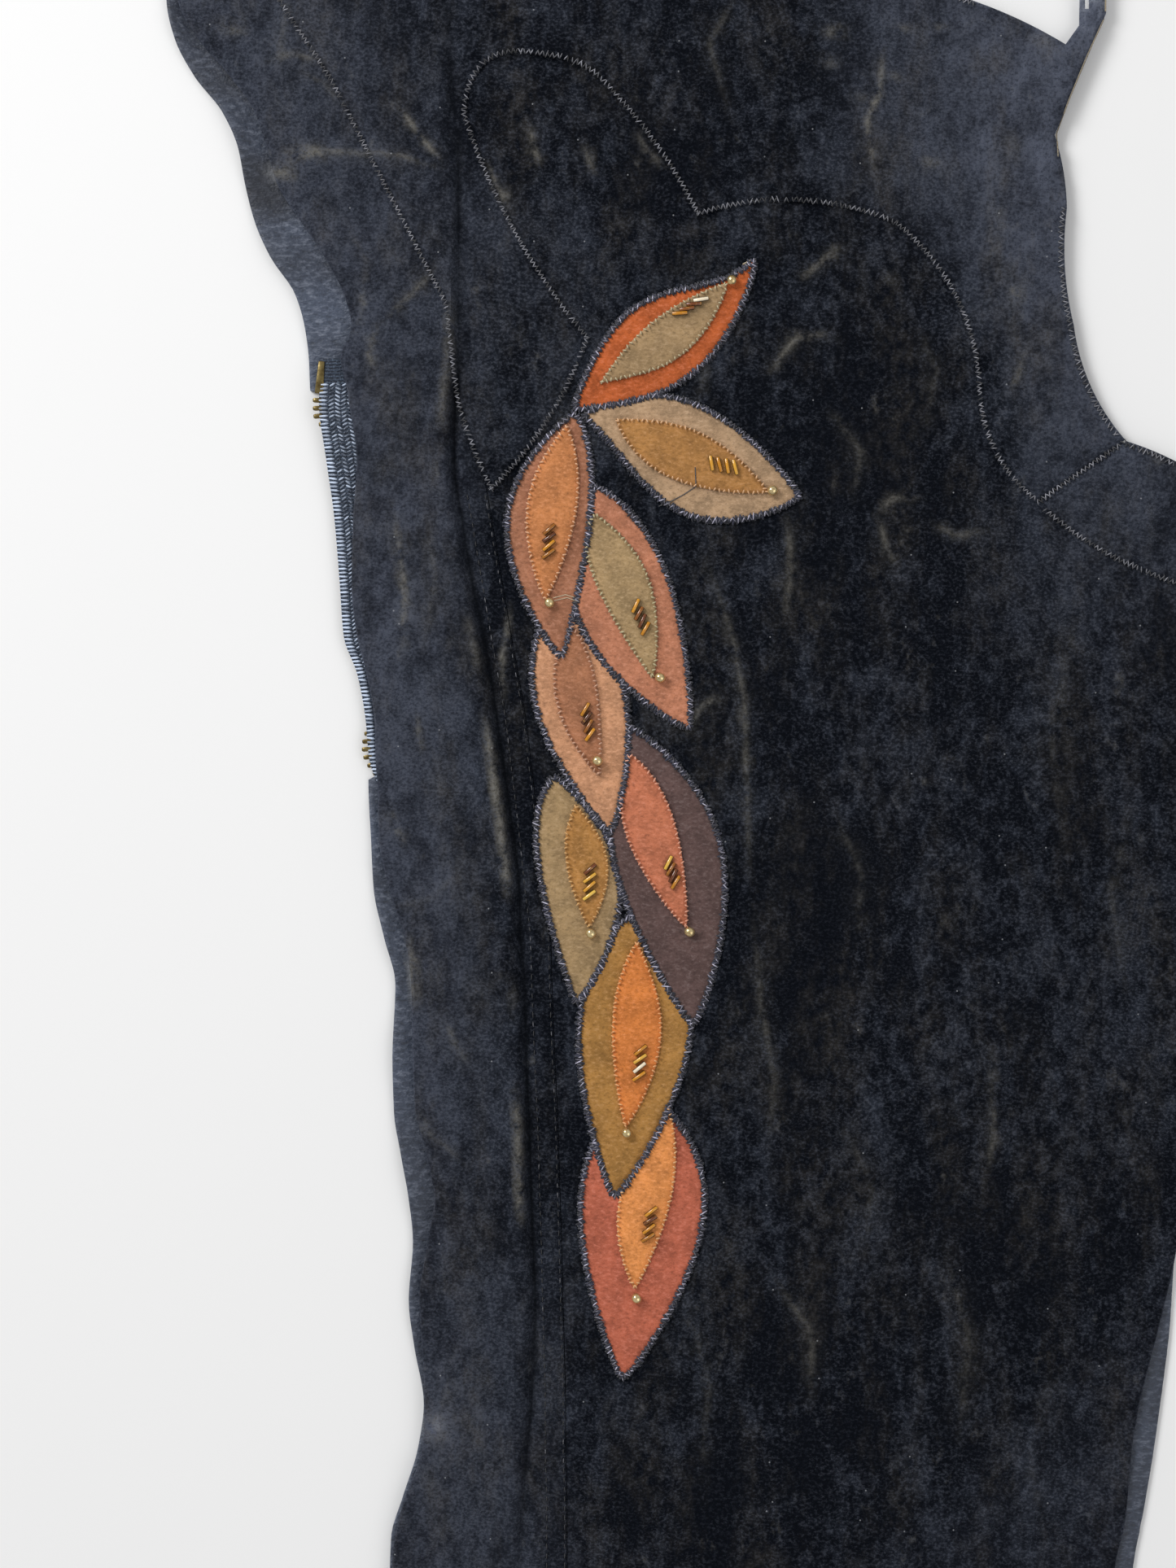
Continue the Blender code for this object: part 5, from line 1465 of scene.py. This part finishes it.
class CHAPS_OT_zips(bpy.types.Operator):
    """Zip tapes with their knitted ribs, brass teeth and pins"""

    bl_idname = "chaps.zips"
    bl_label = "Zips"

    def execute(self, context):
        sizes = context.scene.chaps_sizes
        weave = kept("Zip tape", tape_weave)
        brass = kept("Brass", aged_brass)
        # The tape ribs run from navy to near white, the pale end a painted glint on the knit.
        knit = kept("Tape ribs", thread, colour("#202a3b"), colour("#d2e0f6"), 0.8)
        front = tape_outline(0.0, TAPE_WIDTH, 3.0)
        back = tape_outline(TAPE_WIDTH + TAPES_APART, BACK_TAPE_WIDTH, 8.0)
        tapes = (("zip_tape_front", front, (3.0, 4.0), (-1.2, -0.3), underside),
                 ("zip_tape_back", back, (7.0, 16.0), (1.9, 2.8),
                  lambda x, y, side: np.zeros(len(x))))
        stroke, tooth = stroke_unit(), tooth_unit()
        for side in SIDES:
            for node, outline, steps, heights, lie in tapes:
                flat = plan(outline, steps, TAPE_OUTER, rim=0.3)
                dress((node + "_knit", node), "tape", side, outline, flat, heights, lie, weave,
                      "back_panel", rim_drop=0.2)
                flat.free()
            scatter("zip_ribs_" + side, stroke, self.ribs(side, sizes.rib_pitch / MM), side, knit)
            teeth = scatter("zip_teeth_" + side, tooth, self.teeth(side, sizes.tooth_pitch / MM),
                            side, brass)
            self.pin(side, brass)
            slider = bpy.data.objects["zip_slider_" + side]
            slider.data.materials.clear()
            slider.data.materials.append(brass)
        for unit in (stroke, tooth):
            bpy.data.objects.remove(unit)
        return {"FINISHED"}

    def ribs(self, side, pitch):
        """Loops over the teeth's cord, then a slanted knit beside them."""
        line = run_down(TAPE_OUTER, ZIP_TOP - 9.0, 116.0)
        random = np.random.default_rng(11)
        rows = []
        for out, length, lean, width in ((1.5, 4.0, 0.0, 0.95), (4.6, 2.8, 0.55, 0.8),
                                         (6.9, 2.8, -0.5, 0.8), (9.2, 2.8, 0.5, 0.8),
                                         (11.4, 2.8, -0.5, 0.8), (13.6, 2.8, 0.5, 0.8)):
            x, y, _ = walk(line, pitch)
            x = x + out
            heading = lean + random.normal(0.0, 0.08, len(x))
            z = underside(x, y, side) - 0.28
            # The loops over the cord take the brighter tones, painted highlights where they stand
            # up.
            tone = random.uniform(*((0.40, 1.15) if out < 2.0 else (0.0, 0.75)), len(x))
            rows.append(rows_of(x, y, z, heading, 0.0, length, width, 0.9, tone))
        return np.concatenate(rows)

    def teeth(self, side, pitch):
        """Teeth along both halves, most of them tucked under the cord's loops."""
        line = run_down(TAPE_OUTER, ZIP_TOP - 14.0, ZIP_BOTTOM + 2.0)
        x, y, along = walk(line, pitch)
        shown = np.maximum(ease((y - 260.0) / 5.0), bump((y - 142.0) / 12.0))
        out = 2.6 - 3.0 * shown
        z = underside(x, y, side) - 1.5 + 0.7 * shown
        front = rows_of(x + out, y, z, along + math.pi / 2, 0.0, 2.7, 1.7, 1.3, 0.5)
        line = [(px + TAPE_WIDTH + TAPES_APART, py) for px, py in line]
        x, y, along = walk(line, pitch)
        back = rows_of(x - 0.2, y, 2.35, along + math.pi / 2, 0.0, 2.6, 1.7, 1.2, 0.5)
        return np.concatenate([front, back])

    def pin(self, side, brass):
        """Flat pin at the top of the front half."""
        bm = bmesh.new()
        bmesh.ops.create_cube(bm, size=1.0)
        bmesh.ops.scale(bm, vec=(2.3, 12.0, 1.3), verts=bm.verts[:])
        foot = [v for v in bm.verts if v.co.y < 0]
        bmesh.ops.scale(bm, vec=(1.45, 1.0, 1.0), verts=foot)
        bmesh.ops.bevel(bm, geom=bm.edges[:], offset=0.35, offset_type="OFFSET", segments=2,
                        profile=0.5, affect="EDGES", material=-1, clamp_overlap=True)
        y = ZIP_TOP - 7.0
        z = float(underside(np.array([-338.0]), np.array([y]), side)[0]) - 0.6
        bmesh.ops.rotate(bm, cent=(0, 0, 0), matrix=Matrix.Rotation(-0.08, 3, "Z"),
                         verts=bm.verts[:])
        bmesh.ops.translate(bm, vec=(float(at(TAPE_OUTER, y)) - 0.2, y, z), verts=bm.verts[:])
        piece = finished("zip_pin_" + side, bm, side, brass)


class CHAPS_OT_belt(bpy.types.Operator):
    """Back belt, lying across both back panels and down between them"""

    bl_idname = "chaps.belt"
    bl_label = "Back Belt"

    def execute(self, context):
        source = bpy.data.objects["belt"]
        bm = bmesh.new()
        bm.from_mesh(source.data)
        bmesh.ops.remove_doubles(bm, verts=bm.verts[:], dist=1e-6)
        bmesh.ops.dissolve_limit(bm, angle_limit=0.01, verts=bm.verts[:], edges=bm.edges[:])
        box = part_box("belt")
        for low, high, axis, step in ((box[0][0], box[1][0], 0, 0.004),
                                      (box[0][1], box[1][1], 1, 0.004)):
            split(bm, bm.faces[:], axis, [float(v) for v in np.arange(low + step, high, step)])
        middle = (box[0][1] + box[1][1]) / 2
        half = (box[1][1] - box[0][1]) / 2
        for v in bm.verts:
            near = half - abs(v.co.y - middle)
            wave = 0.0004 * math.sin(v.co.x * 46.0) * math.sin(v.co.y * 90.0 + 1.0)
            v.co.z += max(0.0, wave) - (0.0005 if near < 0.0005 and v.co.z > 0.002 else 0.0)
        bmesh.ops.scale(bm, vec=(1 / MM, 1 / MM, 1 / MM), verts=bm.verts[:])
        piece = finished("belt_suede", bm, "r", kept("Yoke suede", black_suede))
        rows = []
        for y in (box[0][1] + 0.0028, box[1][1] - 0.0028):
            for x in np.arange(box[0][0] + 0.003, box[1][0] - 0.003, 0.0035):
                hit, spot, normal, _ = piece.ray_cast((x, y, 0.1), (0.0, 0.0, -1.0))
                if hit and normal.z > 0.5:
                    rows.append((x / MM, y / MM, spot.z / MM + 0.05, 0.0,
                                 math.atan2(normal.x, normal.z), 2.4, 0.45, 0.4, 0.4))
        unit = stroke_unit()
        scatter("belt_sewing", unit, rows, "r", kept("Seam thread", seam_thread))
        bpy.data.objects.remove(unit)
        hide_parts("belt")
        return {"FINISHED"}


def strand(line, side, wide, tone):
    """Rows for scatter: a loose thread lying along a line."""
    x, y, heading = walk(line, 0.45)
    z, tilt = laid(x, y, heading, 0.9, side, 0.12)
    return rows_of(x, y, z, heading, tilt, 1.0, wide, wide, tone)


def raw_edge(name):
    """Pale raw fibre."""
    return thread(name, colour("#4c463c"), colour("#cdbda0"), 0.85)


def seam_thread(name):
    """Grey thread of the yoke and the seams, dimmed stitch by stitch towards black as painted
    shade.
    """
    tone = bpy.context.scene.chaps_colours.thread
    return thread(name, [c * 0.06 for c in tone], tone[:])


class CHAPS_OT_seams(bpy.types.Operator):
    """Grey sewing: yoke and crotch zigzags, and the double rows beside the flap"""

    bl_idname = "chaps.seams"
    bl_label = "Seams"

    def execute(self, context):
        sizes = context.scene.chaps_sizes
        finish = kept("Seam thread", seam_thread)
        unit = stroke_unit()
        pitch = sizes.yoke_pitch / MM
        scallops = corners(YOKE_SCALLOPS, (YOKE_WAIST_X, waist_y(YOKE_WAIST_X)))
        front_edge = corners(CROTCH_EDGE[2:4], CROTCH_EDGE[4][:2])
        foot = corners(CROTCH_PIECE[3:-1], CROTCH_PIECE[-1][:2])
        lines = (
            (scallops, 0.5), (front_edge, 1.4), (waist_run(YOKE_WAIST_X, WAIST[0][0], 1.4), 0.0),
            (foot, 0.2), ([(-42.3, 256.2), (-75.2, 233.1)], 0.0),
            (corners(CROTCH_PIECE[:3], CROTCH_PIECE[3][:2]), 1.4),
        )
        for side in SIDES:
            rows = []
            for n, (line, out) in enumerate(lines):
                rows.append(zigzag(line, pitch, 2.7, 0.50, 0.46, side, 20 + n, out=out,
                                   tones=(-0.2, 0.95), skip=0.08, rough=1.5))
            for n, off in enumerate((0.0, FLAP_LAP - ROW_INSET)):
                line = [(x + off, y) for x, y in run_down(SEAM, SEAM_SHOWS - 3.0, -504.0)]
                x, y, along = walk(line, sizes.stitch_pitch / MM)
                random = np.random.default_rng(40 + n)
                keep = ~inside(x, y, OUTLINES["yoke"])
                heading = along + random.normal(0.0, 0.05, len(x))
                length = 2.3 + random.normal(0.0, 0.2, len(x))
                z, tilt = laid(x, y, heading, length, side, -0.05)
                pale = np.where(random.uniform(0, 1, len(x)) > 0.85, 0.30, -0.1)
                made = rows_of(x, y, z, heading, tilt, length, 0.40, 0.40, pale)
                rows.append(made[keep])
            scatter("grey_sewing_" + side, unit, np.concatenate(rows), side, finish)
            for name, make, strands in (("dark_ends", seam_thread, LOOSE_DARK),
                                        ("pale_ends", raw_edge, LOOSE_PALE)):
                ends = np.concatenate([strand(line, side, wide, tone)
                                       for line, wide, tone in strands])
                scatter(name + "_" + side, unit, ends, side, kept(name, make))
        bpy.data.objects.remove(unit)
        return {"FINISHED"}


class CHAPS_OT_borders(bpy.types.Operator):
    """Dense zigzag borders round the leaves and finer ones round the inlays"""

    bl_idname = "chaps.borders"
    bl_label = "Leaf Borders"

    def execute(self, context):
        sizes = context.scene.chaps_sizes
        colours = context.scene.chaps_colours
        # Painted shade: the dark strokes under the border stand for the shade between its loops.
        # Each border thread runs from a dimmed copy of its colour, painted shade, to its colour,
        # the lilac one a painted highlight.
        shade = kept("Border shade", thread, [c * 0.22 for c in colours.border_dark],
                     colours.border_dark[:])
        bright = kept("Border thread", thread, [c * 0.07 for c in colours.border],
                      colours.border[:], 0.5)
        unit = stroke_unit()
        pitch = sizes.border_pitch / MM
        for side in SIDES:
            under, over = [], []
            for k in LEAVES:
                line = OUTLINES["leaf", k]
                under.append(zigzag(line, 2.0, 3.4, 1.2, 0.12, side, 60 + k, True, 0.1,
                                    covered(k), (-0.2, 0.8), 0.5, rough=2.0))
                made = zigzag(line, pitch, 2.7, 0.52, 0.50, side, 80 + k, True, 0.1,
                              covered(k), (-0.1, 0.95), 0.6, rough=3.0)
                # Every other stroke is dimmed: painted shade on the strokes that lean away from the
                # light.
                made[1::2, 8] *= 0.3
                over.append(made)
            scatter("border_shade_" + side, unit, np.concatenate(under), side, shade)
            top = np.concatenate(over)
            top[:, 2] += 0.22
            scatter("border_thread_" + side, unit, top, side, bright)
            for k in INLAYS:
                _, dim, lit = LEAF_FINISHES[k]
                finish = kept(f"inlay {k} thread", thread, colour(dim), colour(lit))
                rows = zigzag(OUTLINES["inlay", k], 3.6, 2.0, 0.70, 0.45, side, 100 + k, True, -0.3,
                              covered(k), (0.7, 1.3), rough=1.5)
                rows[:, 2] += 0.15
                scatter(f"inlay_border_{k}_{side}", unit, rows, side, finish)
        bpy.data.objects.remove(unit)
        return {"FINISHED"}


class CHAPS_OT_beads(bpy.types.Operator):
    """Four bugles and a round bead on every inlay"""

    bl_idname = "chaps.beads"
    bl_label = "Beads"

    def execute(self, context):
        tube, ball = bead_unit(2.8, 0.80, 0.3, False), bead_unit(1.9, 2.05, 0.5, True)
        glass, gold = kept("Bead glass", bead_glass), kept("Gold bead", gold_bead)
        for side in SIDES:
            bugles, balls = [], []
            for k, (bx, by, x0, y0, x1, y1, turn) in BEADS.items():
                for i in range(4):
                    t = i / 3.0
                    x, y = x0 + (x1 - x0) * t, y0 + (y1 - y0) * t
                    lean = math.radians(turn + (i % 2) * 5.0 - 2.0)
                    spot = np.array([x]), np.array([y])
                    z = float(underside(*spot, side)[0]) + INLAY_TOP + 0.8
                    bugles.append((x, y, z, lean, 0.0, 1.0, 1.0, 1.0, BUGLE_TONES[k][i]))
                spot = np.array([bx]), np.array([by])
                z = float((underside(*spot, side) + top_level(*spot))[0]) + 1.35
                balls.append((bx, by, z, math.radians(turn), 0.0, 1.0, 1.0, 1.0, 0.5))
            scatter("bugle_beads_" + side, tube, bugles, side, glass)
            scatter("round_beads_" + side, ball, balls, side, gold)
        for unit in (tube, ball):
            bpy.data.objects.remove(unit)
        return {"FINISHED"}


class CHAPS_OT_stage(bpy.types.Operator):
    """Pale floor, soft studio light and the camera looking straight down"""

    bl_idname = "chaps.stage"
    bl_label = "Stage"

    def execute(self, context):
        scene, stage = context.scene, context.scene.chaps_stage
        bm = bmesh.new()
        bmesh.ops.create_grid(bm, x_segments=8, y_segments=8, size=6.0)
        bmesh.ops.translate(bm, vec=(0.0, 0.0, -0.0002), verts=bm.verts[:])
        floor = linked("floor", bm)
        f = Finish("Floor", 0.8)
        tone = scene.chaps_colours.floor
        f.colour(f.mix(f.noise(f.place, 3.0), [c * 0.985 for c in tone], tone[:]))
        floor.data.materials.append(f.made)
        world = bpy.data.worlds.new("Surround")
        world.use_nodes = True
        sky = world.node_tree.nodes["Background"].inputs
        sky["Color"].default_value = (1.0, 1.0, 1.0, 1.0)
        sky["Strength"].default_value = stage.sky
        scene.world = world
        aim = Vector((-0.2, 0.05, 0.0))
        for name, place, power, spread in (("Key", (-1.7, 1.5, 1.5), stage.key, 1.0),
                                           ("Fill", (1.6, -0.8, 2.2), stage.fill, 2.2)):
            light = bpy.data.lights.new(name, "AREA")
            light.energy, light.size = power, spread
            lamp = bpy.data.objects.new(name, light)
            lamp.location = place
            lamp.rotation_euler = (aim - Vector(place)).to_track_quat("-Z", "Y").to_euler()
            scene.collection.objects.link(lamp)
        camera = bpy.data.cameras.new("Camera")
        camera.sensor_width = 36.0
        camera.lens = camera.sensor_width * stage.camera_height / VIEW_LENGTH
        eye = bpy.data.objects.new("Camera", camera)
        eye.location = (*VIEW_CENTRE, stage.camera_height + LEATHER_TOP)
        scene.collection.objects.link(eye)
        scene.camera = eye
        scene.view_settings.view_transform = "Standard"
        return {"FINISHED"}


class CHAPS_PT_panel(bpy.types.Panel):
    """Chaps"""

    bl_label = "Chaps"
    bl_idname = "CHAPS_PT_panel"
    bl_space_type = "VIEW_3D"
    bl_region_type = "UI"
    bl_category = "Chaps"

    def draw(self, context):
        layout = self.layout
        for group in GROUPS:
            settings = getattr(context.scene, group)
            box = layout.box()
            for key in settings.__annotations__:
                box.prop(settings, key)
        for step in STEPS:
            layout.operator(step.bl_idname)


STEPS = (CHAPS_OT_stage, CHAPS_OT_back, CHAPS_OT_zips, CHAPS_OT_front, CHAPS_OT_flap,
         CHAPS_OT_yoke, CHAPS_OT_leaves, CHAPS_OT_belt, CHAPS_OT_seams, CHAPS_OT_borders,
         CHAPS_OT_beads)
GROUPS = {"chaps_sizes": ChapsSizes, "chaps_colours": ChapsColours, "chaps_stage": ChapsStage}
CLASSES = (*GROUPS.values(), *STEPS, CHAPS_PT_panel)


def register():
    for each in CLASSES:
        bpy.utils.register_class(each)
    for name, group in GROUPS.items():
        setattr(bpy.types.Scene, name, bpy.props.PointerProperty(type=group))


def unregister():
    for name in GROUPS:
        delattr(bpy.types.Scene, name)
    for each in reversed(CLASSES):
        bpy.utils.unregister_class(each)


def main():
    """Make every piece in order."""
    register()
    for step in STEPS:
        family, name = step.bl_idname.split(".")
        getattr(getattr(bpy.ops, family), name)()


if __name__ == "__main__":
    main()
